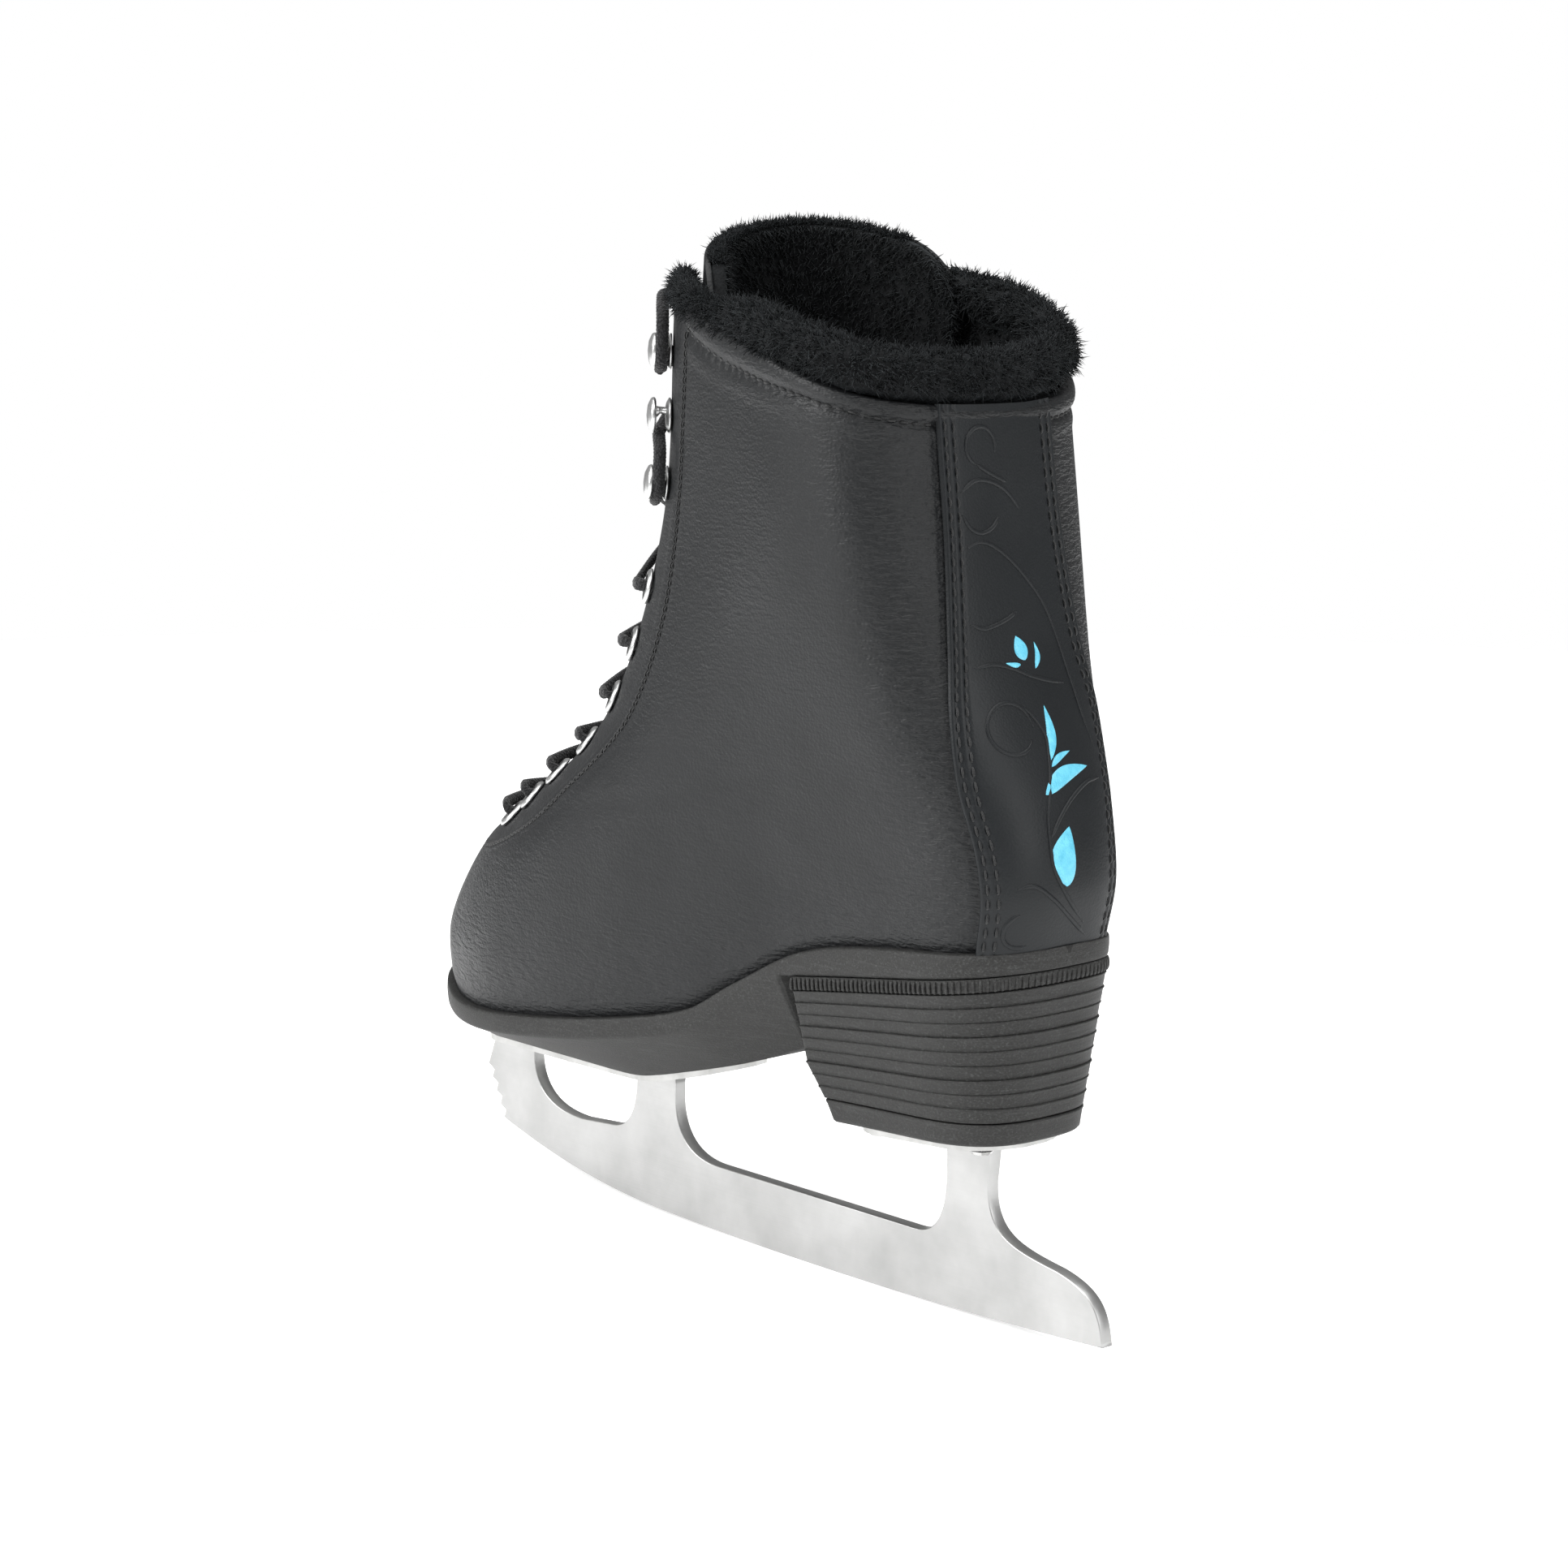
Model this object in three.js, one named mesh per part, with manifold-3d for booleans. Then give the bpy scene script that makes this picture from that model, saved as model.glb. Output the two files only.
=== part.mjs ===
// One women's figure skate: a laced leather boot with a plush collar on a stacked heel, and a steel blade
// with a toe pick. Millimetres, +Z up. The toe points along -Y, the wearer's left is +X, and the blade
// stands on Z = 0. Shapes are worked out in skate coordinates (forward from the blade's tail, side to the
// left, up from the ice) and placed by point().
import * as THREE from "three";
import { mergeVertices } from "three/addons/utils/BufferGeometryUtils.js";
import Module from "manifold-3d";

// ---- driving dimensions ----
const CENTRE_FORWARD = 131.02; // the skate's middle, measured from the blade's tail
const GAP = 0.3; // clearance between neighbouring pieces
const BLADE_THICKNESS = 4;
const ROCKER_RADIUS = 1806;
const ROCKER_LOW_POINT = 107; // where the runner touches the ice
const FRONT_ROCKER_RADIUS = 333; // the runner rises faster towards the toe pick
const FRONT_ROCKER_START = 175;
const RUNNER_TOP = 19.6;
// Toe pick, counted from the lowest tooth upwards.
const PICK = { teeth: 5, forward: 250, up: 14.2, lean: 1.9, pitch: 3.9, notch: 0.9, notchUp: 2.4 };
const SOLE_PLATE_Z = 43.4; // underside of the front plate where it is level
const HEEL_PLATE = { from: 27, to: 82, halfRear: 18, halfFront: 19, rounding: 14, under: 47.8 };
const FRONT_PLATE = { from: 140, to: 246, halfRear: 15, halfFront: 17.5, rounding: 13, levelFrom: 178 };
const PLATE_THICKNESS = 1.8;
const SCREW = { headRadius: 3.4, headHeight: 1.0, shankRadius: 1.7, length: 9, sides: 8 };
const UPPER_THICKNESS = 2.0;
const FACING = { width: 23, outer: 2.6, inner: 3.5, fromRow: 5 };
const TONGUE = { outer: 7.3, skin: 8.8, inner: 12.5, from: 0.31, to: 1.07 };
const TONGUE_HALF_WIDTH = { at: [0.31, 0.7, 0.95, 1.07], by: [27, 30, 43, 44] };
const LINING = { outer: 4.4, inner: 8.0, fromRow: 1 };
const COUNTER = { outer: 2.6, inner: 3.8, fromRow: 1, toRow: 4 };
const TOE_PUFF = { outer: 2.4, inner: 3.8, fromRow: 1, toRow: 4 };
const BACK_STRIP = { inner: 0.5, outer: 1.7, half: [25, 28, 28, 26.5, 23, 20.5, 20.5] };
const COUNTER_LENGTH = 74; // how far the heel counter reaches round each side
const TOE_PUFF_LENGTH = 62;
const LINING_STOP = 46; // the lining ends this far from the front ridge on each side
const COLLAR = { up: 6.9, in: 5.0, halfDepth: 6.6, halfHeight: 6.5 };
const COLLAR_END = { in: 2.4, halfDepth: 3.0, halfHeight: 4.6, thinFrom: 58, thinTo: 42 }; // at the throat
const WALL_ROWS = 14;
const WALL_FOOT = 0.012; // station of the wall's lower edge, just clear of the sole
const THROAT_BASE = 0.33; // station where the throat opens
const THROAT_HALF_GAP = { at: [0.33, 0.5, 0.75, 1], by: [18, 20, 21, 21] };
const EYELET_INSET = 8.5; // from the throat edge to the middle of an eyelet
const EYELET_STATIONS = [0.373, 0.43, 0.488, 0.55, 0.617, 0.68, 0.74];
const HOOK_STATIONS = [0.842, 0.905, 0.963];
const EYELET = { flange: 4.9, barrel: 3.2, bore: 2.8, seat: 0.8, top: 1.8, bottom: 4.3 };
const HOOK = { baseRadius: 4.8, headRadius: 5.0, reach: 5.2 };
const LACE_RADIUS = 1.0;
const AGLET_RADIUS = 1.1;
const AGLET_STATIONS = [0.568, 0.554, 0.54, 0.526];
const TUCKED = { side: 3.4, height: -5.4 }; // where the lace ends lie, beside and under the ridge

// Stations of the boot's outer surface, from the feather line (t = 0) to the topline (t = 1). back and front
// are [forward, up] on the centre plane, caps are the depths of the rounded ends, and half holds half widths
// at the back, at one third, at two thirds and at the front.
const STATIONS = [
  { t: 0.0, back: [18, 106], front: [259, 65], caps: [31, 65], half: [28, 26, 37, 40] },
  { t: 0.12, back: [15.5, 122], front: [261, 82], caps: [32, 64], half: [29, 29, 42, 36] },
  { t: 0.26, back: [19.5, 142], front: [246, 105], caps: [33, 63], half: [31, 33.5, 43, 33] },
  { t: 0.42, back: [29, 164], front: [225, 119], caps: [31, 60], half: [37, 37, 41, 31] },
  { t: 0.6, back: [35.5, 182], front: [188, 149], caps: [27, 55], half: [39.5, 39.5, 38, 31] },
  { t: 0.8, back: [41.5, 210], front: [164, 204], caps: [26, 49], half: [41.5, 43, 36, 32] },
  { t: 1.0, back: [45, 242], front: [156, 266], caps: [30, 45], half: [42, 43, 37, 35] },
];
const BACK_CAP_POWER = 2.7; // the heel's end is squarer than an ellipse
const FEATHER_DIP = {
  at: [0, 0.17, 0.3, 0.405, 0.47, 0.58, 0.74, 0.88, 1],
  by: [0, 3, 2, -6.5, -13, -15, -14, -10, 0],
};
const OUTLINE_STEPS = 60;

// ---- materials ----
function material(color, roughness, metalness = 0) {
  return new THREE.MeshStandardMaterial({ color, roughness, metalness });
}
const MATERIALS = {
  leather: () => material(0x26292b, 0.5),
  strip: () => material(0x23282c, 0.42),
  plush: () => material(0x0d0e10, 0.95),
  sole: () => material(0x33322f, 0.65),
  steel: () => material(0xb4b4b2, 0.32, 1),
  plated: () => material(0xc8cacc, 0.22, 1),
  lace: () => material(0x121314, 0.85),
  board: () => material(0x6b5a44, 0.8),
  stiffener: () => material(0x4a4a48, 0.6),
  aglet: () => material(0x1a1a1a, 0.3),
};

// ---- curves ----
// Cubic curve through values at uneven knots, with straight run-out past both ends.
function curveThrough(knots, values, t) {
  const last = knots.length - 1;
  const slope = (i) => {
    const a = Math.max(i - 1, 0);
    const b = Math.min(i + 1, last);
    return (values[b] - values[a]) / (knots[b] - knots[a]);
  };
  if (t <= knots[0]) return values[0] + slope(0) * (t - knots[0]);
  if (t >= knots[last]) return values[last] + slope(last) * (t - knots[last]);
  let k = 0;
  while (t > knots[k + 1]) k += 1;
  const h = knots[k + 1] - knots[k];
  const a = (t - knots[k]) / h;
  const rise = (3 - 2 * a) * a * a;
  return (
    values[k] * (1 - rise) +
    values[k + 1] * rise +
    h * slope(k) * a * (1 - a) ** 2 -
    h * slope(k + 1) * a * a * (1 - a)
  );
}

const STATION_T = STATIONS.map((s) => s.t);
function stationValue(read, t) {
  return curveThrough(STATION_T, STATIONS.map(read), t);
}

// Half of the boot's outline at station t, from the back seam to the front ridge, in skate coordinates,
// with the distance run from the back seam.
const outlines = new Map();
function outlineAt(t) {
  const key = t.toFixed(5);
  if (outlines.has(key)) return outlines.get(key);
  const back = [0, 1].map((i) => stationValue((s) => s.back[i], t));
  const front = [0, 1].map((i) => stationValue((s) => s.front[i], t));
  const caps = [0, 1].map((i) => stationValue((s) => s.caps[i], t));
  const half = [0, 1, 2, 3].map((i) => stationValue((s) => s.half[i], t));
  const chord = Math.hypot(front[0] - back[0], front[1] - back[1]);
  const cap = (distance, depth, power) => {
    const short = 1 - Math.min(distance / depth, 1);
    return Math.max(1 - short ** power, 0) ** (1 / power);
  };
  const fade = Math.max(1 - t, 0) ** 2;
  const points = [];
  let run = 0;
  for (let i = 0; i <= OUTLINE_STEPS; i += 1) {
    const u = (1 - Math.cos((Math.PI * i) / OUTLINE_STEPS)) / 2;
    const width = curveThrough([0, 1 / 3, 2 / 3, 1], half, u);
    const p = [
      back[0] + (front[0] - back[0]) * u,
      width * cap(u * chord, caps[0], BACK_CAP_POWER) * cap((1 - u) * chord, caps[1], 2),
      back[1] + (front[1] - back[1]) * u + fade * curveThrough(FEATHER_DIP.at, FEATHER_DIP.by, u),
    ];
    const q = points.length ? points[points.length - 1].p : p;
    run += Math.hypot(p[0] - q[0], p[1] - q[1], p[2] - q[2]);
    points.push({ p, run });
  }
  outlines.set(key, points);
  return points;
}

function halfLength(t) {
  const points = outlineAt(t);
  return points[points.length - 1].run;
}

// A point of the surface: distance is along the outline from the back seam, negative on the right side.
function surface(t, distance) {
  const points = outlineAt(t);
  const length = points[points.length - 1].run;
  let d = distance;
  if (d > length) d -= 2 * length;
  if (d < -length) d += 2 * length;
  const side = d < 0 ? -1 : 1;
  d = Math.abs(d);
  let k = 1;
  while (k < points.length - 1 && points[k].run < d) k += 1;
  const a = points[k - 1];
  const b = points[k];
  const f = (d - a.run) / (b.run - a.run || 1);
  const mix = a.p.map((v, i) => v + (b.p[i] - v) * f);
  return new THREE.Vector3(mix[0], mix[1] * side, mix[2]);
}

// The surface's frame: out along its normal, along towards the front on the left side, up the boot.
function frameAt(t, distance) {
  const along = surface(t, distance + 2).sub(surface(t, distance - 2)).normalize();
  const up = surface(t + 0.01, distance).sub(surface(t - 0.01, distance));
  const out = new THREE.Vector3().crossVectors(up, along).normalize();
  up.crossVectors(along, out).normalize();
  return { along, up, out };
}

function raised(t, distance, height) {
  return surface(t, distance).addScaledVector(frameAt(t, distance).out, height);
}

// Skate coordinates to the part's own frame.
function point(p) {
  return new THREE.Vector3(p.y, CENTRE_FORWARD - p.x, p.z);
}

function throatHalfGap(t) {
  const open = curveThrough(THROAT_HALF_GAP.at, THROAT_HALF_GAP.by, t);
  const rounding = Math.min((t - THROAT_BASE) / 0.05, 1);
  return open * Math.sqrt(Math.max(1 - (1 - rounding) ** 2, 0.02));
}

// ---- solids ----
const wasm = await Module();
wasm.setup();

function geometryOf(vertices, triangles) {
  const geometry = new THREE.BufferGeometry();
  const numbers = vertices.flatMap((v) => [v.x, v.y, v.z]);
  geometry.setAttribute("position", new THREE.Float32BufferAttribute(numbers, 3));
  geometry.setIndex(triangles.flat());
  return geometry;
}

function solid(geometry) {
  const bare = geometry.clone();
  bare.deleteAttribute("normal");
  bare.deleteAttribute("uv");
  const merged = mergeVertices(bare, 1e-4);
  const mesh = new wasm.Mesh({
    numProp: 3,
    vertProperties: new Float32Array(merged.attributes.position.array),
    triVerts: new Uint32Array(merged.index.array),
  });
  return new wasm.Manifold(mesh);
}

function fromSolid(made) {
  const mesh = made.getMesh();
  const geometry = new THREE.BufferGeometry();
  geometry.setAttribute("position", new THREE.BufferAttribute(new Float32Array(mesh.vertProperties), 3));
  geometry.setIndex(new THREE.BufferAttribute(new Uint32Array(mesh.triVerts), 1));
  return geometry;
}

function cut(geometry, cutters) {
  return fromSolid(cutters.reduce((left, c) => left.subtract(solid(c)), solid(geometry)));
}

function join(geometries) {
  return fromSolid(geometries.slice(1).reduce((sum, g) => sum.add(solid(g)), solid(geometries[0])));
}

// A closed skin from rings of equal length: ring i is joined to ring i + 1, and both end rings are capped
// by a fan about their middle.
function loft(rings) {
  const n = rings[0].length;
  const vertices = rings.flat();
  const triangles = [];
  for (let i = 0; i + 1 < rings.length; i += 1)
    for (let j = 0; j < n; j += 1) {
      const a = i * n + j;
      const b = i * n + ((j + 1) % n);
      triangles.push([a, b, b + n], [a, b + n, a + n]);
    }
  const middle = (ring) => ring.reduce((sum, v) => sum.add(v), new THREE.Vector3()).divideScalar(n);
  const first = vertices.push(middle(rings[0])) - 1;
  const last = vertices.push(middle(rings[rings.length - 1])) - 1;
  const base = (rings.length - 1) * n;
  for (let j = 0; j < n; j += 1) {
    const k = (j + 1) % n;
    triangles.push([first, k, j], [last, base + j, base + k]);
  }
  return outward(geometryOf(vertices, triangles));
}

// Turns every face round if the body is inside out.
function outward(geometry) {
  const p = geometry.attributes.position;
  const index = geometry.index.array;
  const corner = (i) => new THREE.Vector3().fromBufferAttribute(p, index[i]);
  let volume = 0;
  for (let i = 0; i < index.length; i += 3)
    volume += corner(i).dot(corner(i + 1).cross(corner(i + 2)));
  if (volume < 0)
    for (let i = 0; i < index.length; i += 3)
      [index[i + 1], index[i + 2]] = [index[i + 2], index[i + 1]];
  return geometry;
}

function spread(from, to, steps) {
  return Array.from({ length: steps + 1 }, (_, i) => from + ((to - from) * i) / steps);
}

// A patch of the boot between two depths under its outer surface (negative depths stand proud), as a solid
// with walls all round. columnsAt(t) lists the distances across the patch at station t.
function patch(stations, columnsAt, outerDepth, innerDepth) {
  const rings = stations.map((t) => {
    const columns = columnsAt(t);
    const outer = columns.map((d) => point(raised(t, d, -outerDepth)));
    const inner = columns.map((d) => point(raised(t, d, -innerDepth)));
    return [...outer, ...inner.reverse()];
  });
  const n = rings[0].length;
  const vertices = rings.flat();
  const triangles = [];
  for (let i = 0; i + 1 < rings.length; i += 1)
    for (let j = 0; j < n; j += 1) {
      const a = i * n + j;
      const b = i * n + ((j + 1) % n);
      triangles.push([a, b, b + n], [a, b + n, a + n]);
    }
  const base = (rings.length - 1) * n;
  for (let j = 0; j + 1 < n / 2; j += 1) {
    const far = n - 1 - j;
    triangles.push([j, far, far - 1], [j, far - 1, j + 1]);
    triangles.push([base + j, base + far - 1, base + far], [base + j, base + j + 1, base + far - 1]);
  }
  return outward(geometryOf(vertices, triangles));
}

// A tube of the boot's wall all the way round, open at the top and the bottom.
function wall(stations, columnsAt, outerDepth, innerDepth) {
  const rings = [];
  for (const depth of [outerDepth, innerDepth])
    for (const t of depth === outerDepth ? stations : [...stations].reverse())
      rings.push(columnsAt(t).slice(0, -1).map((d) => point(raised(t, d, -depth))));
  const n = rings[0].length;
  const triangles = [];
  for (let i = 0; i < rings.length; i += 1)
    for (let j = 0; j < n; j += 1) {
      const next = ((i + 1) % rings.length) * n;
      const k = (j + 1) % n;
      triangles.push([i * n + j, i * n + k, next + k], [i * n + j, next + k, next + j]);
    }
  return outward(geometryOf(rings.flat(), triangles));
}

// A disc or pin of the given profile about an axis from base along out. The profile is [radius, height].
function turned(base, out, profile, sides = 10) {
  const geometry = new THREE.LatheGeometry(profile.map(([r, h]) => new THREE.Vector2(r, h)), sides);
  geometry.applyQuaternion(new THREE.Quaternion().setFromUnitVectors(new THREE.Vector3(0, 1, 0), out));
  geometry.translate(base.x, base.y, base.z);
  return geometry;
}

function pin(base, out, radius, from, to, sides = 8) {
  return turned(base, out, [[0, from], [radius, from], [radius, to], [0, to]], sides);
}

// ---- blade ----
function runnerEdge(forward) {
  const rocker = (forward - ROCKER_LOW_POINT) ** 2 / (2 * ROCKER_RADIUS);
  const past = Math.max(forward - FRONT_ROCKER_START, 0);
  return rocker + (past * past) / (2 * FRONT_ROCKER_RADIUS);
}

// The toe pick's teeth, from the top tooth down to the drag pick.
function pickTeeth(outline) {
  for (let i = PICK.teeth - 1; i >= 0; i -= 1) {
    const forward = PICK.forward + i * PICK.lean;
    const up = PICK.up + i * PICK.pitch;
    if (i < PICK.teeth - 1) outline.lineTo(forward - PICK.notch, up + PICK.notchUp);
    outline.lineTo(forward, up);
  }
}

function runnerShape() {
  const top = SOLE_PLATE_Z - GAP;
  const heelTop = (forward) => heelPlateUnder(forward) - GAP;
  const s = new THREE.Shape();
  s.moveTo(0.4, runnerEdge(0));
  s.bezierCurveTo(1.5, 12, 4, 17, 17, 19.8);
  s.bezierCurveTo(34, 22.3, 42.5, 24, 42.2, 38);
  s.lineTo(40.8, heelTop(40.8));
  s.lineTo(58, heelTop(58));
  s.lineTo(57.8, 36);
  s.bezierCurveTo(58.2, 25, 62, RUNNER_TOP, 70, RUNNER_TOP);
  s.lineTo(150, RUNNER_TOP);
  s.bezierCurveTo(162, RUNNER_TOP, 168.8, 25, 169.2, 36);
  s.lineTo(169, top);
  s.lineTo(186.2, top);
  s.lineTo(186.8, 35);
  s.bezierCurveTo(188, 27, 191, 22.8, 199, 22.4);
  s.lineTo(212, 21.4);
  s.bezierCurveTo(226, 21.4, 234, 26, 234.8, 36);
  s.lineTo(235, top);
  s.lineTo(253, top);
  s.lineTo(253.8, 39);
  pickTeeth(s);
  for (let i = 0; i <= 24; i += 1) {
    const forward = 247 - i * (246.6 / 24);
    s.lineTo(forward, runnerEdge(forward));
  }
  return s;
}

// Turns a shape drawn in (forward, up) into a plate of the given thickness about the centre plane.
function plateOnCentre(shape, thickness) {
  const options = { depth: thickness, bevelEnabled: false, curveSegments: 8 };
  const geometry = new THREE.ExtrudeGeometry(shape, options);
  geometry.translate(0, 0, -thickness / 2);
  const place = new THREE.Matrix4().makeBasis(
    new THREE.Vector3(0, -1, 0),
    new THREE.Vector3(0, 0, 1),
    new THREE.Vector3(-1, 0, 0),
  );
  geometry.applyMatrix4(place);
  geometry.translate(0, CENTRE_FORWARD, 0);
  return geometry;
}

// A mounting plate with round ends that follows the leather over it: under(forward) is its lower face.
function mountingPlate({ from, to, halfRear, halfFront, rounding }, under) {
  const rings = spread(from, to, 26).map((forward) => {
    const fromEnd = Math.min(forward - from, to - forward) / rounding;
    const round = Math.sqrt(Math.max(1 - (1 - Math.min(fromEnd, 1)) ** 2, 0.05));
    const half = THREE.MathUtils.mapLinear(forward, from, to, halfRear, halfFront) * round;
    const low = under(forward);
    const high = low + PLATE_THICKNESS;
    return [[-half, low], [half, low], [half, high], [-half, high]].map(([side, up]) =>
      point(new THREE.Vector3(forward, side, up)),
    );
  });
  return loft(rings);
}

function heelPlateUnder(forward) {
  return HEEL_PLATE.under + HEEL.rise * (HEEL_PLATE.to - forward);
}

function frontPlateUnder(forward) {
  if (forward > FRONT_PLATE.levelFrom) return SOLE_PLATE_Z;
  return Math.max(SOLE_PLATE_Z, soleUnderside(forward) - PLATE_THICKNESS - GAP);
}

const FRONT_SCREWS = [[182, 10], [182, -10], [204, 11], [204, -11], [226, 11], [226, -11]];
const HEEL_SCREWS = [[35, 12], [35, -12], [72, 13], [72, -13]];

function screwSpots(places, under) {
  return places.map(([forward, side]) => point(new THREE.Vector3(forward, side, under(forward))));
}

const UP = new THREE.Vector3(0, 0, 1);
function screw(spot) {
  const { headRadius, headHeight, shankRadius, length, sides } = SCREW;
  return turned(spot, UP, [
    [0, -headHeight - GAP],
    [headRadius * 0.8, -headHeight - GAP],
    [headRadius, -GAP],
    [shankRadius, -GAP],
    [shankRadius * 0.8, length],
    [0, length + 1.5],
  ], sides);
}

function screwHole(spot) {
  return pin(spot, UP, SCREW.shankRadius + GAP, -1, SCREW.length + 2.2, SCREW.sides);
}

// ---- sole and heel ----
const SOLE_LIP = 1.6; // the sole stands this far outside the upper
const SOLE = { wall: 6, foot: 18, heelSeat: 100, heelSlope: 0.153, shankFrom: 97 };
const SHANK = { at: [97, 118, 138, 152, 165, 178, 232, 262], by: [67, 59, 53, 49.3, 46.2, 45.5, 45.5, 54] };
const HEEL = {
  breastTop: 93,
  breastBottom: 82,
  bottom: 50,
  randHeight: 3.8,
  liftHeight: 6,
  rise: 0.063, // slope of the heel's foot, up towards the back
  taper: 4.2,
  lean: 2,
  squeeze: 0.08,
};

// A point of the feather line with its outward offset, used by everything under the boot.
function featherPoint(distance, offset) {
  const p = surface(0, distance);
  const frame = frameAt(0.02, distance);
  const flat = new THREE.Vector3(frame.out.x, frame.out.y, 0).normalize();
  return p.addScaledVector(flat, offset);
}

// The slanting seat on which the heel stands.
function heelSeat(forward) {
  return SOLE.heelSeat - SOLE.heelSlope * (forward - 20);
}

// Underside of the sole on the centre line: the heel seat, then the shank down to the ball and up to the toe.
function soleUnderside(forward) {
  if (forward < SOLE.shankFrom) return heelSeat(forward);
  const shank = curveThrough(SHANK.at, SHANK.by, forward);
  return Math.max(shank, SOLE_PLATE_Z + PLATE_THICKNESS + GAP);
}

// A section across the sole: a side wall down to a crease, then a bevel to the underside.
function soleSection(distance) {
  const rim = featherPoint(distance, SOLE_LIP);
  const onHeel = rim.x < SOLE.shankFrom;
  const under = Math.min(soleUnderside(rim.x), rim.z - 3);
  const crease = onHeel ? under : Math.max(rim.z - SOLE.wall, under + 1);
  const foot = onHeel ? rim.y - 0.6 : Math.min(SOLE.foot, rim.y * 0.6);
  const half = [
    [Math.max(rim.y - 3, rim.y * 0.8), rim.z],
    [rim.y, rim.z - 0.8],
    [rim.y - 0.2, crease + (onHeel ? 0.6 : 0)],
    [foot, under],
  ];
  const full = [...half, ...half.map(([side, up]) => [-side, up]).reverse()];
  return full.map(([side, up]) => point(new THREE.Vector3(rim.x, side, up)));
}

// Distance along the feather line, set out by offset, at which it passes the given forward position.
function featherDistance(forward, offset = SOLE_LIP) {
  let low = 0;
  let high = halfLength(0);
  for (let i = 0; i < 30; i += 1) {
    const middle = (low + high) / 2;
    if (featherPoint(middle, offset).x < forward) low = middle;
    else high = middle;
  }
  return low;
}

function outsole() {
  const step = featherDistance(SOLE.shankFrom);
  const end = halfLength(0) - 2.5;
  return loft([...spread(2.5, step - 0.3, 9), ...spread(step + 0.3, end, 16)].map(soleSection));
}

// A slice of the heel: its outline is the sole's rim drawn in towards the bottom, with a straight breast.
function heelRing(level, z) {
  const breast = HEEL.breastTop + (HEEL.breastBottom - HEEL.breastTop) * Math.max(level, 0);
  const offset = SOLE_LIP - level * HEEL.taper;
  const reach = featherDistance(breast - level * HEEL.lean, offset);
  return spread(-reach, reach, 24).map((d) => {
    const p = featherPoint(d, offset);
    p.x += level * HEEL.lean;
    p.y *= 1 - level * HEEL.squeeze;
    p.z = z(p.x);
    return point(p);
  });
}

function heelSlice(levelTop, zTop, levelBottom, zBottom) {
  return loft([heelRing(levelTop, zTop), heelRing(levelBottom, zBottom)]);
}

function heelParts() {
  const below = (drop) => (forward) => heelSeat(forward) - drop;
  const foot = (height) => (forward) =>
    HEEL.bottom + HEEL.rise * (HEEL.breastBottom - forward) + height;
  return {
    heel_rand: heelSlice(-0.1, below(GAP), -0.05, below(HEEL.randHeight)),
    heel_stack: heelSlice(0.1, below(HEEL.randHeight + GAP), 0.86, foot(HEEL.liftHeight + GAP)),
    heel_top_lift: heelSlice(0.88, foot(HEEL.liftHeight), 1, foot(0)),
  };
}

// A flat layer inside the boot that follows the feather line, between two heights above it.
function innerLayer(offset, low, high) {
  const length = halfLength(0);
  const rings = spread(6, length - 7, 18).map((d) => {
    const p = featherPoint(d, -offset);
    return [[p.y, low], [p.y, high], [-p.y, high], [-p.y, low]].map(([side, up]) =>
      point(new THREE.Vector3(p.x, side, p.z + up)),
    );
  });
  return loft(rings);
}

// ---- upper ----
const WALL_STATIONS = spread(WALL_FOOT, 1, WALL_ROWS);
const COLUMNS = { strip: 4, counter: 7, puff: 11, lining: 12, ridge: 16 }; // where each layer's edge falls

// Distances from the back seam to the front ridge that every layer of the wall shares, so that their
// facets lie parallel.
function halfColumns(t) {
  const strip = curveThrough(STATION_T, BACK_STRIP.half, t);
  const ridge = halfLength(t);
  const puff = ridge - TOE_PUFF_LENGTH;
  return [
    ...[0, 1 / 3, 2 / 3, 0.85, 1].map((f) => strip * f),
    37,
    52,
    ...spread(COUNTER_LENGTH, puff, 4),
    ridge - LINING_STOP,
    ridge - 34,
    ridge - 22,
    ridge - 11,
    ridge,
  ];
}

// Columns within reach of the back seam, on both sides of it.
function backColumns(reach) {
  return (t) => {
    const half = halfColumns(t).slice(0, reach + 1);
    return [...half.slice(1).reverse().map((d) => -d), ...half];
  };
}

// Columns from one of the shared ones forward to the front ridge and round to the other side.
function frontColumns(from) {
  return (t) => {
    const ridge = halfLength(t);
    const half = halfColumns(t).slice(from);
    return [...half, ...half.slice(0, -1).reverse().map((d) => 2 * ridge - d)];
  };
}

function toThroat(t, extra) {
  return halfLength(t) - throatHalfGap(t) - extra;
}

function throatCutter() {
  const stations = spread(THROAT_BASE, 1.04, 16);
  return patch(stations, (t) => spread(-1, 1, 2).map((f) => halfLength(t) + f * throatHalfGap(t)), -6, 16);
}

function eyeletSpots(side) {
  return EYELET_STATIONS.map((t) => laceSpot(t, side));
}

function hookSpots(side) {
  return HOOK_STATIONS.map((t) => laceSpot(t, side));
}

function laceSpot(t, side) {
  return { t, distance: side * toThroat(t, EYELET_INSET) };
}

// Direction in the part's own frame.
function direction(v) {
  return new THREE.Vector3(v.y, -v.x, v.z);
}

function spotFrame(spot) {
  const f = frameAt(spot.t, spot.distance);
  return {
    base: point(surface(spot.t, spot.distance)),
    out: direction(f.out),
    up: direction(f.up),
    along: direction(f.along),
  };
}

function fastenerHoles(side) {
  const eyelets = eyeletSpots(side).map((s) => ({ s, r: EYELET.barrel + GAP }));
  const hooks = hookSpots(side).map((s) => ({ s, r: 1.5 + GAP }));
  return [...eyelets, ...hooks].map(({ s, r }) => {
    const f = spotFrame(s);
    return pin(f.base, f.out, r, -6, 3);
  });
}

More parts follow.
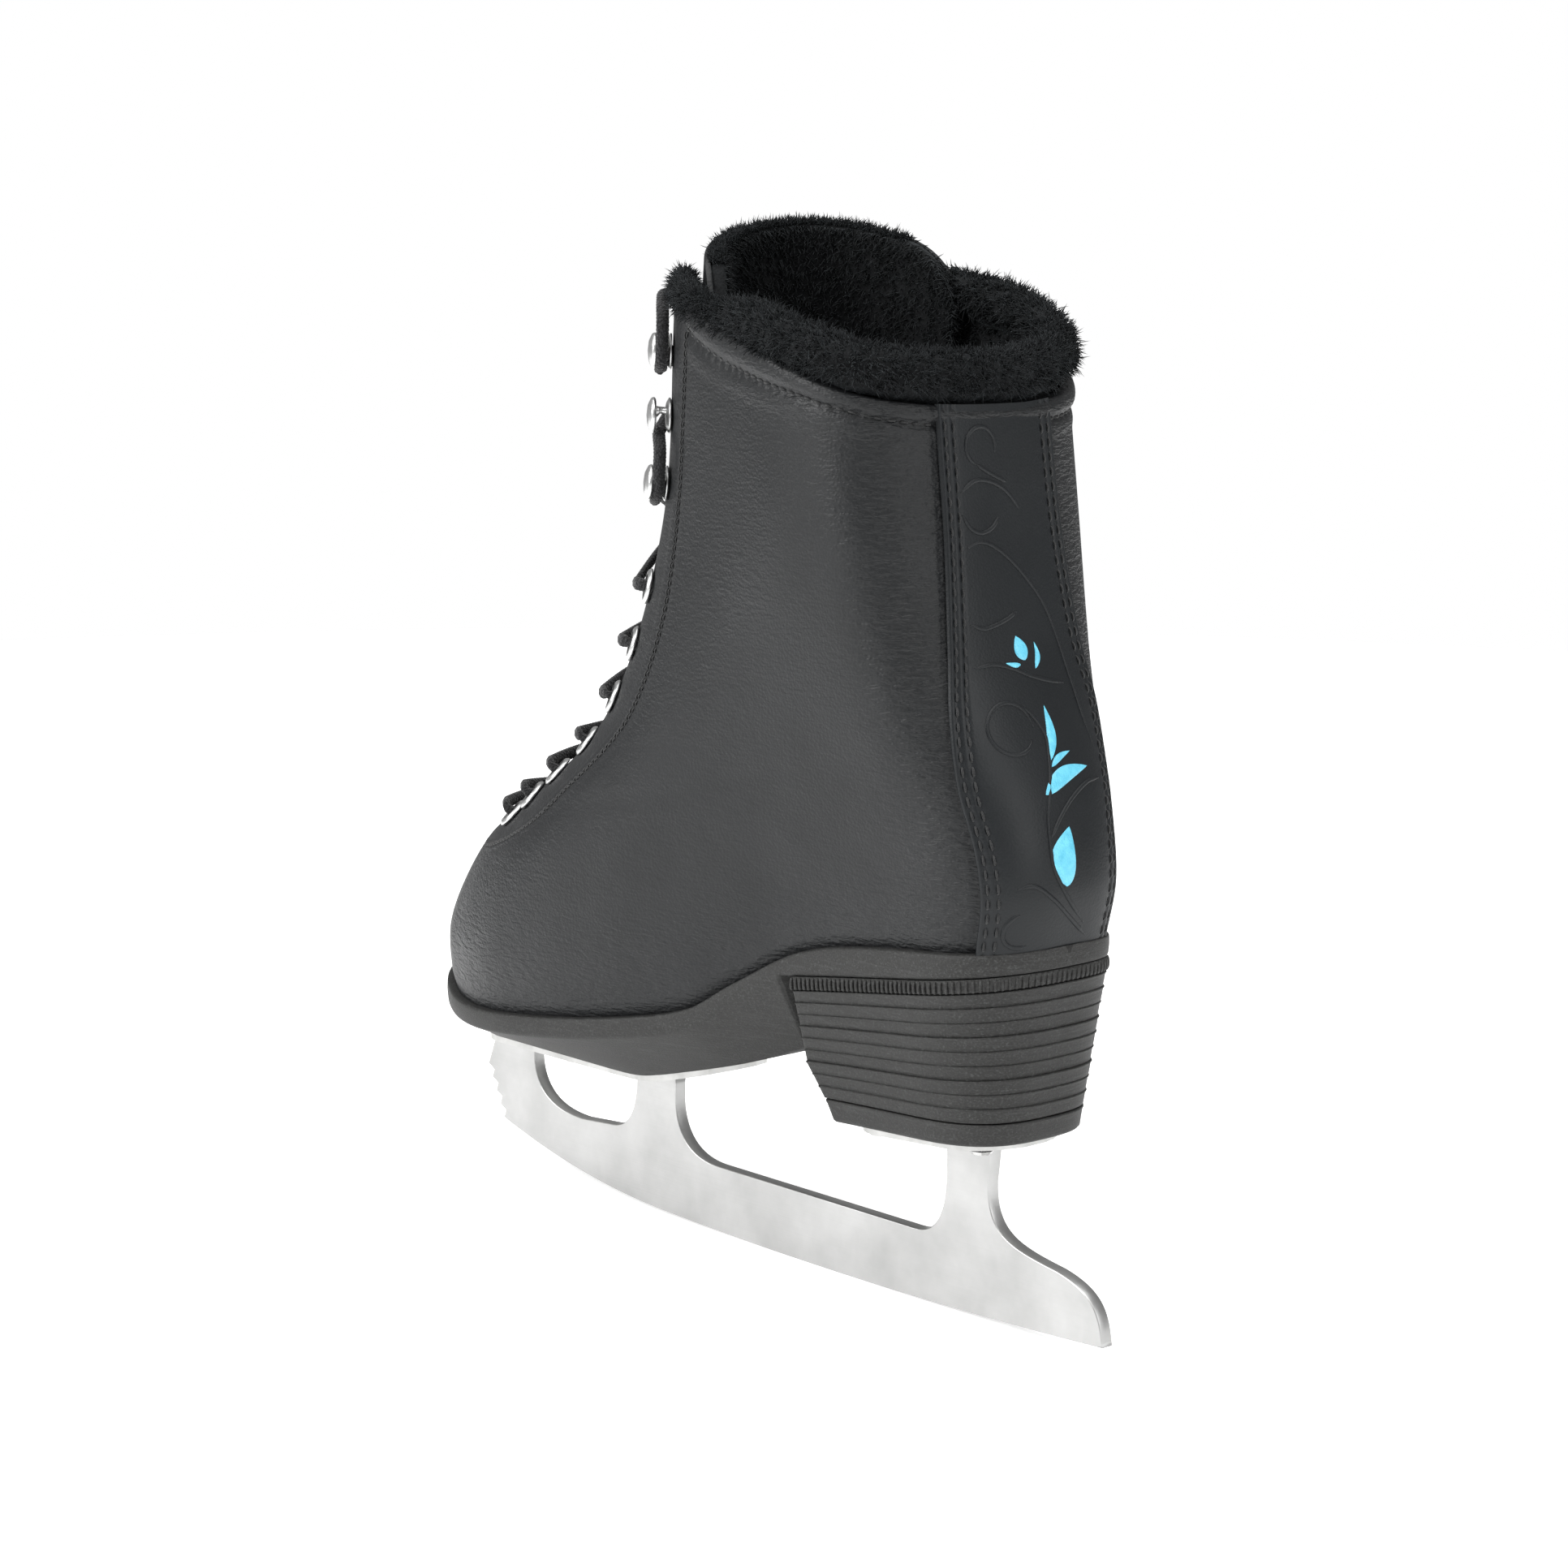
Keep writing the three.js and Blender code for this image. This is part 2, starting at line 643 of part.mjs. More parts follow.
function upperShell() {
  const shell = wall(WALL_STATIONS, backColumns(COLUMNS.ridge), 0, UPPER_THICKNESS);
  return cut(shell, [throatCutter(), ...fastenerHoles(1), ...fastenerHoles(-1)]);
}

function facing(side) {
  const stations = WALL_STATIONS.slice(FACING.fromRow, -1);
  const columns = (t) => spread(side * toThroat(t, 0.5), side * toThroat(t, FACING.width), 2);
  return cut(patch(stations, columns, FACING.outer, FACING.inner), fastenerHoles(side));
}

function backStrip() {
  return patch(WALL_STATIONS, backColumns(COLUMNS.strip), -BACK_STRIP.outer, -BACK_STRIP.inner);
}

function lining() {
  return patch(WALL_STATIONS.slice(LINING.fromRow), backColumns(COLUMNS.lining), LINING.outer, LINING.inner);
}

function heelCounter() {
  const stations = WALL_STATIONS.slice(COUNTER.fromRow, COUNTER.toRow + 1);
  return patch(stations, backColumns(COLUMNS.counter), COUNTER.outer, COUNTER.inner);
}

function toePuff() {
  const stations = WALL_STATIONS.slice(TOE_PUFF.fromRow, TOE_PUFF.toRow + 1);
  return patch(stations, frontColumns(COLUMNS.puff), TOE_PUFF.outer, TOE_PUFF.inner);
}

function tongueLayer(outer, inner) {
  const half = (t) => curveThrough(TONGUE_HALF_WIDTH.at, TONGUE_HALF_WIDTH.by, t);
  const columns = (t) => spread(-1, 1, 8).map((f) => halfLength(t) + f * half(t));
  return patch(spread(TONGUE.from, TONGUE.to, 13), columns, outer, inner);
}

// The plush roll round the top edge, a flattened tube that stops at the throat on both sides.
function collarRoll() {
  const end = toThroat(1, -2);
  const rings = spread(-end, end, 30).map((d) => {
    const f = frameAt(1, d);
    const flat = new THREE.Vector3(f.out.x, f.out.y, 0).normalize();
    const fromEnd = end - Math.abs(d);
    const { thinFrom, thinTo } = COLLAR_END;
    const thin = THREE.MathUtils.clamp((thinFrom - fromEnd) / (thinFrom - thinTo), 0, 1);
    const [inwards, halfDepth, halfHeight] = ["in", "halfDepth", "halfHeight"].map((k) =>
      THREE.MathUtils.lerp(COLLAR[k], COLLAR_END[k], thin),
    );
    const centre = surface(1, d).addScaledVector(flat, -inwards);
    centre.z += COLLAR.up - COLLAR.halfHeight + halfHeight;
    return spread(0, Math.PI * 2, 10).slice(0, -1).map((a) => {
      const p = centre.clone().addScaledVector(flat, Math.cos(a) * halfDepth);
      p.z += Math.sin(a) * halfHeight;
      return point(p);
    });
  });
  return loft(rings);
}

// ---- metal on the facings ----
function eyelet(spot) {
  const f = spotFrame(spot);
  const { flange, barrel, bore, seat, top, bottom } = EYELET;
  return turned(f.base, f.out, [
    [bore, -bottom],
    [barrel, -bottom],
    [barrel, seat],
    [flange, seat],
    [flange * 0.8, top],
    [bore, top],
    [bore, -bottom],
  ]);
}

// A lacing hook: a riveted base, a neck at its upper side, and a domed head.
function hook(spot) {
  const f = spotFrame(spot);
  const { baseRadius, headRadius, reach } = HOOK;
  const base = turned(f.base, f.out, [
    [0, -4.0],
    [1.5, -4.0],
    [1.5, GAP],
    [baseRadius, GAP],
    [baseRadius * 0.9, 1.3],
    [0, 1.7],
  ]);
  const head = turned(f.base, f.out, [
    [0, reach - 1],
    [headRadius * 0.95, reach - 0.6],
    [headRadius, reach],
    [headRadius * 0.7, reach + 1.1],
    [0, reach + 1.5],
  ]);
  const neck = new THREE.BoxGeometry(2.6, 5.2, reach - 0.6);
  neck.translate(0, 1.4, (reach + 0.6) / 2);
  const turn = new THREE.Matrix4().makeBasis(new THREE.Vector3().crossVectors(f.up, f.out), f.up, f.out);
  neck.applyMatrix4(turn);
  neck.translate(f.base.x, f.base.y, f.base.z);
  return join([base, head, outward(mergeVertices(neck))]);
}

// ---- lace ----
// One lace, threaded up through each pair of eyelets and crossed between them. After the top eyelets it
// goes round the lowest hooks and the top hooks, meets in the middle, and its ends are tucked down over
// the tongue under the crossings.
const LACE_HEIGHT = { over: 3.9, under: -5.8 };

// The way through an eyelet: distance from its middle towards the throat, and height.
const EYELET_PASS = [
  [-5, LACE_HEIGHT.under],
  [-2.2, LACE_HEIGHT.under],
  [-0.4, -4.6],
  [0, -2.6],
  [0, 1.6],
  [-0.8, 3.4],
  [-3.2, LACE_HEIGHT.over],
  [-5.6, LACE_HEIGHT.over],
];

function lacePoint(t, fromEdge, side, height) {
  return raised(t, side * toThroat(t, fromEdge), height);
}

function ridgePoint(t, side, height) {
  return raised(t, halfLength(t) - side, height);
}

// Half of the lace, from the middle of the lowest bar to its end on one side.
function laceHalf(side) {
  const route = [];
  let now = side;
  EYELET_STATIONS.forEach((t, i) => {
    for (const [inset, height] of EYELET_PASS)
      route.push(lacePoint(t, EYELET_INSET + inset, now, height));
    const next = i + 1 < EYELET_STATIONS.length ? EYELET_STATIONS[i + 1] : HOOK_STATIONS[0];
    const level = side > 0 ? 1.6 : -1.7;
    route.push(ridgePoint((t + next) / 2, now * 1.5, level));
    now = -now;
  });
  return { route, now };
}

function hookLoop(spot, side) {
  const t = spot.t;
  const low = 3.2;
  return [
    lacePoint(t - 0.012, EYELET_INSET - 6.5, side, low),
    lacePoint(t - 0.016, EYELET_INSET, side, low),
    lacePoint(t - 0.006, EYELET_INSET + 3.6, side, low),
    lacePoint(t + 0.03, EYELET_INSET + 3.6, side, low),
    lacePoint(t + 0.044, EYELET_INSET - 1, side, low),
    lacePoint(t + 0.046, EYELET_INSET - 6.5, side, low),
  ];
}

function laceRoute(side) {
  const { route, now } = laceHalf(side);
  const [low, , high] = HOOK_STATIONS;
  route.push(...hookLoop({ t: low }, now));
  const level = side > 0 ? 3.0 : -0.4;
  route.push(ridgePoint((low + high) / 2 + 0.03, now * 1.5, level));
  route.push(...hookLoop({ t: high }, -now));
  route.push(ridgePoint(high + 0.03, -now * 3.0, 0.6));
  route.push(ridgePoint(high, -now * TUCKED.side, -3.4));
  for (const f of [0.9, 0.82, 0.74, 0.66, 0.58])
    route.push(ridgePoint(f, -now * TUCKED.side, TUCKED.height));
  return route;
}

function lacePath() {
  const left = laceRoute(1);
  const right = laceRoute(-1);
  const middle = ridgePoint(EYELET_STATIONS[0], 0, LACE_HEIGHT.under);
  return new THREE.CatmullRomCurve3([...left.reverse(), middle, ...right].map(point), false, "centripetal");
}

// The hard tip that follows each end of the lace down the tongue.
function aglet(side) {
  const spots = AGLET_STATIONS.map((f) => point(ridgePoint(f, side * TUCKED.side, TUCKED.height)));
  return tube(new THREE.CatmullRomCurve3(spots), AGLET_RADIUS, 4, 6);
}

function polygon(radius, sides) {
  const s = new THREE.Shape();
  for (let i = 0; i < sides; i += 1) {
    const a = (2 * Math.PI * i) / sides;
    if (i === 0) s.moveTo(radius * Math.cos(a), radius * Math.sin(a));
    else s.lineTo(radius * Math.cos(a), radius * Math.sin(a));
  }
  s.closePath();
  return s;
}

function tube(path, radius, steps, sides) {
  return new THREE.ExtrudeGeometry(polygon(radius, sides), { extrudePath: path, steps });
}

// ---- the assembly ----
const skate = new THREE.Group();
skate.name = "figure_skate";

function add(name, geometry, look, parent = skate) {
  const mesh = new THREE.Mesh(geometry, MATERIALS[look]());
  mesh.name = name;
  parent.add(mesh);
}

const frontSpots = screwSpots(FRONT_SCREWS, frontPlateUnder);
const heelSpots = screwSpots(HEEL_SCREWS, heelPlateUnder);

const blade = new THREE.Group();
skate.add(blade);
const frontPlate = mountingPlate(FRONT_PLATE, frontPlateUnder);
const heelPlate = mountingPlate(HEEL_PLATE, heelPlateUnder);
add("blade_runner", plateOnCentre(runnerShape(), BLADE_THICKNESS), "steel", blade);
add("front_plate", cut(frontPlate, frontSpots.map(screwHole)), "steel", blade);
add("heel_plate", cut(heelPlate, heelSpots.map(screwHole)), "steel", blade);
frontSpots.forEach((spot, i) => add(`front_screw_${i + 1}`, screw(spot), "plated", blade));
heelSpots.forEach((spot, i) => add(`heel_screw_${i + 1}`, screw(spot), "plated", blade));

const bottom = new THREE.Group();
skate.add(bottom);
add("outsole", cut(outsole(), frontSpots.map(screwHole)), "sole", bottom);
const heel = heelParts();
add("heel_rand", heel.heel_rand, "sole", bottom);
add("heel_stack", cut(heel.heel_stack, heelSpots.map(screwHole)), "sole", bottom);
add("heel_top_lift", cut(heel.heel_top_lift, heelSpots.map(screwHole)), "sole", bottom);
add("insole_board", innerLayer(4.4, 0.5, 2.4), "board", bottom);
add("footbed", innerLayer(9.2, 2.8, 6.2), "lace", bottom);

const upper = new THREE.Group();
skate.add(upper);
add("upper_shell", upperShell(), "leather", upper);
add("back_strip", backStrip(), "strip", upper);
add("facing_left", facing(1), "leather", upper);
add("facing_right", facing(-1), "leather", upper);
add("heel_counter", heelCounter(), "stiffener", upper);
add("toe_puff", toePuff(), "stiffener", upper);
add("lining", lining(), "plush", upper);
add("collar_roll", collarRoll(), "plush", upper);
for (const [side, name] of [[1, "left"], [-1, "right"]]) {
  eyeletSpots(side).forEach((s, i) => add(`eyelet_${name}_${i + 1}`, eyelet(s), "plated", upper));
  hookSpots(side).forEach((s, i) => add(`hook_${name}_${i + 1}`, hook(s), "plated", upper));
}

const tongue = new THREE.Group();
skate.add(tongue);
add("tongue_leather", tongueLayer(TONGUE.outer, TONGUE.skin), "leather", tongue);
add("tongue_padding", tongueLayer(TONGUE.skin + GAP, TONGUE.inner), "plush", tongue);

add("lace", tube(lacePath(), LACE_RADIUS, 280, 6), "lace");
add("aglet_left", aglet(1), "aglet");
add("aglet_right", aglet(-1), "aglet");

export default skate;
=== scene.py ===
"""A black figure skate: leather boot, plush collar and tongue, stacked heel, steel blade.

Shapes are worked out in skate coordinates, in millimetres: forward from the blade's tail, side to the left,
up from the ice. to_frame() places them in the CAD frame, in metres.
"""

import math

import bmesh
import bpy
import numpy as np
from mathutils import Matrix, Vector
from mathutils.geometry import tessellate_polygon


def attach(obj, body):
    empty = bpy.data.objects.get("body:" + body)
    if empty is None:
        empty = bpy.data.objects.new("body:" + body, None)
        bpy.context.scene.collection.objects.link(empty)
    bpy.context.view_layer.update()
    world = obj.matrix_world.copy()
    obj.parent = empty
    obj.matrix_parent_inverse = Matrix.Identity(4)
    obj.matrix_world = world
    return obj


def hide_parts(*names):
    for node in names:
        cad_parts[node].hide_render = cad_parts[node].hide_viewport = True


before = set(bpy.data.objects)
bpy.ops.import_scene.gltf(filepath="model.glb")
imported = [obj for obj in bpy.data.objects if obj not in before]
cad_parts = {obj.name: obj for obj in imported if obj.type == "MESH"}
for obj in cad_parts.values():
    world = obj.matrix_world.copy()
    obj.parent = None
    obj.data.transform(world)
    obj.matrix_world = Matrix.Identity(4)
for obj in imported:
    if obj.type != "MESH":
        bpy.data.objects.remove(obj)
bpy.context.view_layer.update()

# ---- camera and lamp ----
CAMERA_PLACE = (0.6668, 0.7421, 0.3017)
CAMERA_LOOK = (-0.6617, -0.7310, -0.1669)
CAMERA_ROLL = 0.39
CAMERA_LENS = 83.85


def make_camera():
    data = bpy.data.cameras.new("camera")
    data.lens = CAMERA_LENS
    data.sensor_width = 36
    data.clip_start, data.clip_end = 0.01, 100
    camera = bpy.data.objects.new("camera", data)
    bpy.context.scene.collection.objects.link(camera)
    turn = Vector(CAMERA_LOOK).to_track_quat("-Z", "Y").to_matrix().to_4x4()
    roll = Matrix.Rotation(math.radians(CAMERA_ROLL), 4, "Z")
    camera.matrix_world = Matrix.Translation(CAMERA_PLACE) @ turn @ roll
    bpy.context.scene.camera = camera


def area_light(name, place, target, size, power):
    data = bpy.data.lights.new(name, "AREA")
    data.shape = "RECTANGLE"
    data.size, data.size_y = size
    data.energy = power
    light = bpy.data.objects.new(name, data)
    bpy.context.scene.collection.objects.link(light)
    light.location = place
    light.rotation_mode = "QUATERNION"
    light.rotation_quaternion = (Vector(target) - Vector(place)).to_track_quat("-Z", "Y")


make_camera()
bpy.context.scene.view_settings.view_transform = "Standard"

# ---- the boot's outer surface, as in the CAD ----
CENTRE_FORWARD = 131.02
STATION_T = [0.0, 0.12, 0.26, 0.42, 0.6, 0.8, 1.0]
STATION_BACK = [[18, 106], [15.5, 122], [19.5, 142], [29, 164], [35.5, 182], [41.5, 210], [45, 242]]
STATION_FRONT = [[259, 65], [261, 82], [246, 105], [225, 119], [188, 149], [164, 204], [156, 266]]
STATION_CAPS = [[31, 65], [32, 64], [33, 63], [31, 60], [27, 55], [26, 49], [30, 45]]
STATION_HALF = [
    [28, 26, 37, 40],
    [29, 29, 42, 36],
    [31, 33.5, 43, 33],
    [37, 37, 41, 31],
    [39.5, 39.5, 38, 31],
    [41.5, 43, 36, 32],
    [42, 43, 37, 35],
]
BACK_CAP_POWER = 2.7
DIP_AT = [0, 0.17, 0.3, 0.405, 0.47, 0.58, 0.74, 0.88, 1]
DIP_BY = [0, 3, 2, -6.5, -13, -15, -14, -10, 0]
THROAT_BASE = 0.33
THROAT_GAP_AT = [0.33, 0.5, 0.75, 1]
THROAT_GAP_BY = [18, 20, 21, 21]
THROAT_ROUNDING = 0.05
EYELET_INSET = 8.5
EYELET_STATIONS = [0.373, 0.43, 0.488, 0.55, 0.617, 0.68, 0.74]
HOOK_STATIONS = [0.842, 0.905, 0.963]
TABLE_T = np.linspace(-0.06, 1.16, 733)
TABLE_HALF_STEPS = 480


def curve_through(knots, values, t):
    """Cubic curve through values at uneven knots, with straight run-out past both ends."""
    knots, values = np.asarray(knots, float), np.asarray(values, float)
    last = len(knots) - 1
    after = np.minimum(np.arange(last + 1) + 1, last)
    before = np.maximum(np.arange(last + 1) - 1, 0)
    span = knots[after] - knots[before]
    slope = (values[after] - values[before]) / span.reshape((-1,) + (1,) * (values.ndim - 1))
    t = np.asarray(t, float)
    held = np.clip(t, knots[0], knots[-1])
    k = np.clip(np.searchsorted(knots, held, side="right") - 1, 0, last - 1)
    shape = t.shape + (1,) * (values.ndim - 1)
    h = (knots[k + 1] - knots[k]).reshape(shape)
    a = (held - knots[k]).reshape(shape) / h
    rise = (3 - 2 * a) * a * a
    inside = values[k] * (1 - rise) + values[k + 1] * rise
    inside = inside + h * slope[k] * a * (1 - a) ** 2 - h * slope[k + 1] * a * a * (1 - a)
    past = (t - held).reshape(shape)
    return inside + np.where(past < 0, slope[0], slope[-1]) * past


def boot_table():
    """The surface, its normals and its half length on a fine grid of station and place round the outline."""
    t = TABLE_T
    back, front = curve_through(STATION_T, STATION_BACK, t), curve_through(STATION_T, STATION_FRONT, t)
    caps, half = curve_through(STATION_T, STATION_CAPS, t), curve_through(STATION_T, STATION_HALF, t)
    chord = np.linalg.norm(front - back, axis=1)[:, None]
    u = (1 - np.cos(np.linspace(0, np.pi, 241))) / 2

    def cap(distance, depth, power):
        short = 1 - np.minimum(distance / depth, 1)
        return np.maximum(1 - short**power, 0) ** (1 / power)

    width = np.stack([curve_through([0, 1 / 3, 2 / 3, 1], row, u) for row in half])
    width = width * cap(u * chord, caps[:, :1], BACK_CAP_POWER) * cap((1 - u) * chord, caps[:, 1:], 2)
    line = back[:, None] + (front - back)[:, None] * u[None, :, None]
    fade = np.maximum(1 - t, 0) ** 2
    up = line[..., 1] + fade[:, None] * curve_through(DIP_AT, DIP_BY, u)
    p = np.stack([line[..., 0], width, up], axis=-1)
    steps = np.linalg.norm(np.diff(p, axis=1), axis=2)
    run = np.concatenate([np.zeros((len(t), 1)), np.cumsum(steps, axis=1)], axis=1)
    share = np.linspace(0, 1, TABLE_HALF_STEPS + 1)
    rows = np.empty((len(t), TABLE_HALF_STEPS + 1, 3))
    for i in range(len(t)):
        for c in range(3):
            rows[i, :, c] = np.interp(share * run[i, -1], run[i], p[i, :, c])
    mirrored = rows[:, 1:-1][:, ::-1] * [1, -1, 1]
    ring = np.concatenate([rows[:, -1:], mirrored, rows[:, :-1]], axis=1)
    along = np.roll(ring, -2, axis=1) - np.roll(ring, 2, axis=1)
    out = np.cross(np.gradient(ring, axis=0), along)
    out /= np.maximum(np.linalg.norm(out, axis=2, keepdims=True), 1e-9)
    return ring, out, run[:, -1]


RING, OUT, HALF_LENGTH = boot_table()


def half_length(t):
    return np.interp(t, TABLE_T, HALF_LENGTH)


def look_up(table, t, d):
    t, d = np.broadcast_arrays(np.asarray(t, float), np.asarray(d, float))
    i = np.clip((t - TABLE_T[0]) / (TABLE_T[1] - TABLE_T[0]), 0, len(TABLE_T) - 1.001)
    n = table.shape[1]
    j = (d / half_length(t) + 1) / 2 * n
    i0, j0 = np.floor(i).astype(int), np.floor(j).astype(int)
    fi, fj = (i - i0)[..., None], (j - j0)[..., None]
    a, b = j0 % n, (j0 + 1) % n
    low = table[i0, a] * (1 - fj) + table[i0, b] * fj
    high = table[i0 + 1, a] * (1 - fj) + table[i0 + 1, b] * fj
    return low * (1 - fi) + high * fi


def surface(t, d):
    """Point of the boot at station t and distance d round from the back seam, left positive."""
    return look_up(RING, t, d)


def normal(t, d):
    n = look_up(OUT, t, d)
    return n / np.linalg.norm(n, axis=-1, keepdims=True)


def raised(t, d, height):
    return surface(t, d) + normal(t, d) * np.asarray(height, float)[..., None]


def throat_half_gap(t):
    opened = curve_through(THROAT_GAP_AT, THROAT_GAP_BY, t)
    rounding = np.clip((np.asarray(t, float) - THROAT_BASE) / THROAT_ROUNDING, 0, 1)
    return opened * np.sqrt(np.maximum(1 - (1 - rounding) ** 2, 0))


def to_throat(t, inset):
    return half_length(t) - throat_half_gap(t) - inset


def to_frame(p):
    p = np.asarray(p, float)
    return np.stack([p[..., 1], CENTRE_FORWARD - p[..., 0], p[..., 2]], axis=-1) / 1000


def bump(x, width):
    """A smooth hill of height 1 at x = 0 that ends at plus and minus width."""
    a = np.clip(np.abs(x) / width, 0, 1)
    return (1 - a * a) ** 2


def step(x, low, high):
    a = np.clip((x - low) / (high - low), 0, 1)
    return a * a * (3 - 2 * a)


# ---- meshes ----
def add_mesh(name, points, faces, look, body="boot", slot=None, nodes=(), smooth=True, floats=None):
    """A piece from points in skate coordinates and a list of face arrays, each with rows of equal length."""
    mesh = bpy.data.meshes.new(name)
    points = to_frame(points).reshape(-1, 3)
    faces = [np.asarray(f, int) for f in faces if len(f)]
    mesh.vertices.add(len(points))
    mesh.vertices.foreach_set("co", points.astype(np.float32).ravel())
    loops = np.concatenate([f.ravel() for f in faces])
    sizes = np.concatenate([np.full(len(f), f.shape[1]) for f in faces])
    starts = np.concatenate([[0], np.cumsum(sizes)[:-1]])
    mesh.loops.add(len(loops))
    mesh.loops.foreach_set("vertex_index", loops.astype(np.int32))
    mesh.polygons.add(len(sizes))
    mesh.polygons.foreach_set("loop_start", starts.astype(np.int32))
    mesh.polygons.foreach_set("use_smooth", np.full(len(sizes), smooth))
    mesh.update(calc_edges=True)
    mesh.validate()
    for key, values in (floats or {}).items():
        attribute = mesh.attributes.new(key, "FLOAT", "POINT")
        attribute.data.foreach_set("value", np.asarray(values, np.float32).ravel())
    mesh.materials.append(look)
    obj = bpy.data.objects.new(name, mesh)
    bpy.context.scene.collection.objects.link(obj)
    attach(obj, body)
    if nodes:
        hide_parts(*nodes)
    return obj


def grid_faces(rows, cols, around=False, ends=False, first=0):
    """Quads of a grid stored row by row. around joins the last column to the first, ends the last row
    to the first."""
    i = np.arange(rows if ends else rows - 1)[:, None]
    j = np.arange(cols if around else cols - 1)[None]
    a = i * cols + j
    b = i * cols + (j + 1) % cols
    c = (i + 1) % rows * cols + (j + 1) % cols
    d = (i + 1) % rows * cols + j
    return np.stack([a, b, c, d], axis=-1).reshape(-1, 4) + first


def slab_faces(rows, cols):
    """Faces of a closed slab: a grid, a second grid behind it, and the rim between them."""
    n = rows * cols
    grid = np.arange(n).reshape(rows, cols)
    rim = np.concatenate([grid[0], grid[1:, -1], grid[-1, -2::-1], grid[-2:0:-1, 0]])
    after = np.roll(rim, -1)
    return [grid_faces(rows, cols), grid_faces(rows, cols)[:, ::-1] + n,
            np.stack([after, rim, rim + n, after + n], axis=1)]


def weld(obj, distance=1e-6):
    bm = bmesh.new()
    bm.from_mesh(obj.data)
    bmesh.ops.remove_doubles(bm, verts=bm.verts, dist=distance)
    bmesh.ops.recalc_face_normals(bm, faces=bm.faces)
    bm.to_mesh(obj.data)
    bm.free()


def frames_along(path, outs=None):
    """Tangent, out and side of a path; out follows the given directions, or turns as little as it can."""
    tangent = np.gradient(path, axis=0)
    tangent /= np.maximum(np.linalg.norm(tangent, axis=1, keepdims=True), 1e-9)
    if outs is None:
        outs = np.empty_like(path)
        start = np.array([0, 0, 1.0]) if abs(tangent[0, 2]) < 0.9 else np.array([1.0, 0, 0])
        for i, along in enumerate(tangent):
            start = start - along * (start @ along)
            start = start / np.linalg.norm(start)
            outs[i] = start
    else:
        outs = outs - tangent * np.sum(outs * tangent, axis=1, keepdims=True)
        outs = outs / np.maximum(np.linalg.norm(outs, axis=1, keepdims=True), 1e-9)
    return tangent, outs, np.cross(tangent, outs)


class Builder:
    """Collects many small bodies into one mesh."""

    def __init__(self):
        self.points, self.quads, self.tris, self.count = [], [], [], 0

    def add(self, points, quads=(), tris=()):
        points = np.asarray(points, float).reshape(-1, 3)
        if len(quads):
            self.quads.append(np.asarray(quads, int) + self.count)
        if len(tris):
            self.tris.append(np.asarray(tris, int) + self.count)
        self.points.append(points)
        self.count += len(points)

    def capped(self, rings):
        """A tube given ring by ring, with a fan over each end."""
        rows, sides = rings.shape[:2]
        self.add(rings, grid_faces(rows, sides, around=True))
        k = np.arange(sides)
        fan = np.stack([k, (k + 1) % sides, np.full(sides, sides)], axis=1)
        for ring, tris in ((rings[0], fan[:, ::-1]), (rings[-1], fan)):
            self.add(np.concatenate([ring, ring.mean(axis=0)[None]]), (), tris)

    def sweep(self, path, half_wide, half_thick, sides=8, outs=None):
        """A tube of oval section along a path, with both ends capped."""
        path = np.asarray(path, float)
        _, out, side = frames_along(path, outs)
        angle = np.linspace(0, 2 * np.pi, sides, endpoint=False)
        wide = np.broadcast_to(half_wide, (len(path),))[:, None, None]
        thick = np.broadcast_to(half_thick, (len(path),))[:, None, None]
        ring = path[:, None] + side[:, None] * np.cos(angle)[None, :, None] * wide
        ring = ring + out[:, None] * np.sin(angle)[None, :, None] * thick
        quads = grid_faces(len(path), sides, around=True)
        points = ring.reshape(-1, 3)
        ends = np.stack([path[0], path[-1]])
        n = len(points)
        j = np.arange(sides)
        k = (j + 1) % sides
        base = (len(path) - 1) * sides
        low = np.stack([np.full(sides, n), k, j], axis=1)
        high = np.stack([np.full(sides, n + 1), base + j, base + k], axis=1)
        self.add(np.concatenate([points, ends]), quads, np.concatenate([low, high]))

    def turned(self, base, out, profile, sides=24, side=None):
        """A solid of revolution about out. Profile rows are [radius, height]: a closed ring, or from axis
        to axis."""
        out = np.asarray(out, float) / np.linalg.norm(out)
        side = np.cross(out, [0.3, 0.2, 0.9]) if side is None else np.asarray(side, float)
        side = side - out * (side @ out)
        side = side / np.linalg.norm(side)
        other = np.cross(out, side)
        angle = np.linspace(0, 2 * np.pi, sides, endpoint=False)
        spoke = side[None] * np.cos(angle)[:, None] + other[None] * np.sin(angle)[:, None]
        profile = np.asarray(profile, float)
        closed = profile[0, 0] > 1e-6
        inner = profile if closed else profile[1:-1]
        points = np.asarray(base)[None, None] + inner[:, :1, None] * spoke[None]
        points = points + inner[:, 1:, None] * out[None, None]
        quads = grid_faces(len(inner), sides, around=True, ends=closed)
        if closed:
            self.add(points, quads)
            return
        n = len(inner) * sides
        ends = np.asarray(base)[None] + profile[[0, -1], 1:] * out[None]
        j = np.arange(sides)
        k = (j + 1) % sides
        last = (len(inner) - 1) * sides
        low = np.stack([np.full(sides, n), k, j], axis=1)
        high = np.stack([np.full(sides, n + 1), last + j, last + k], axis=1)
        self.add(np.concatenate([points.reshape(-1, 3), ends]), quads, np.concatenate([low, high]))

    def piece(self, name, look, **options):
        faces = []
        if self.quads:
            faces.append(np.concatenate(self.quads))
        if self.tris:
            faces.append(np.concatenate(self.tris))
        return add_mesh(name, np.concatenate(self.points), faces, look, **options)


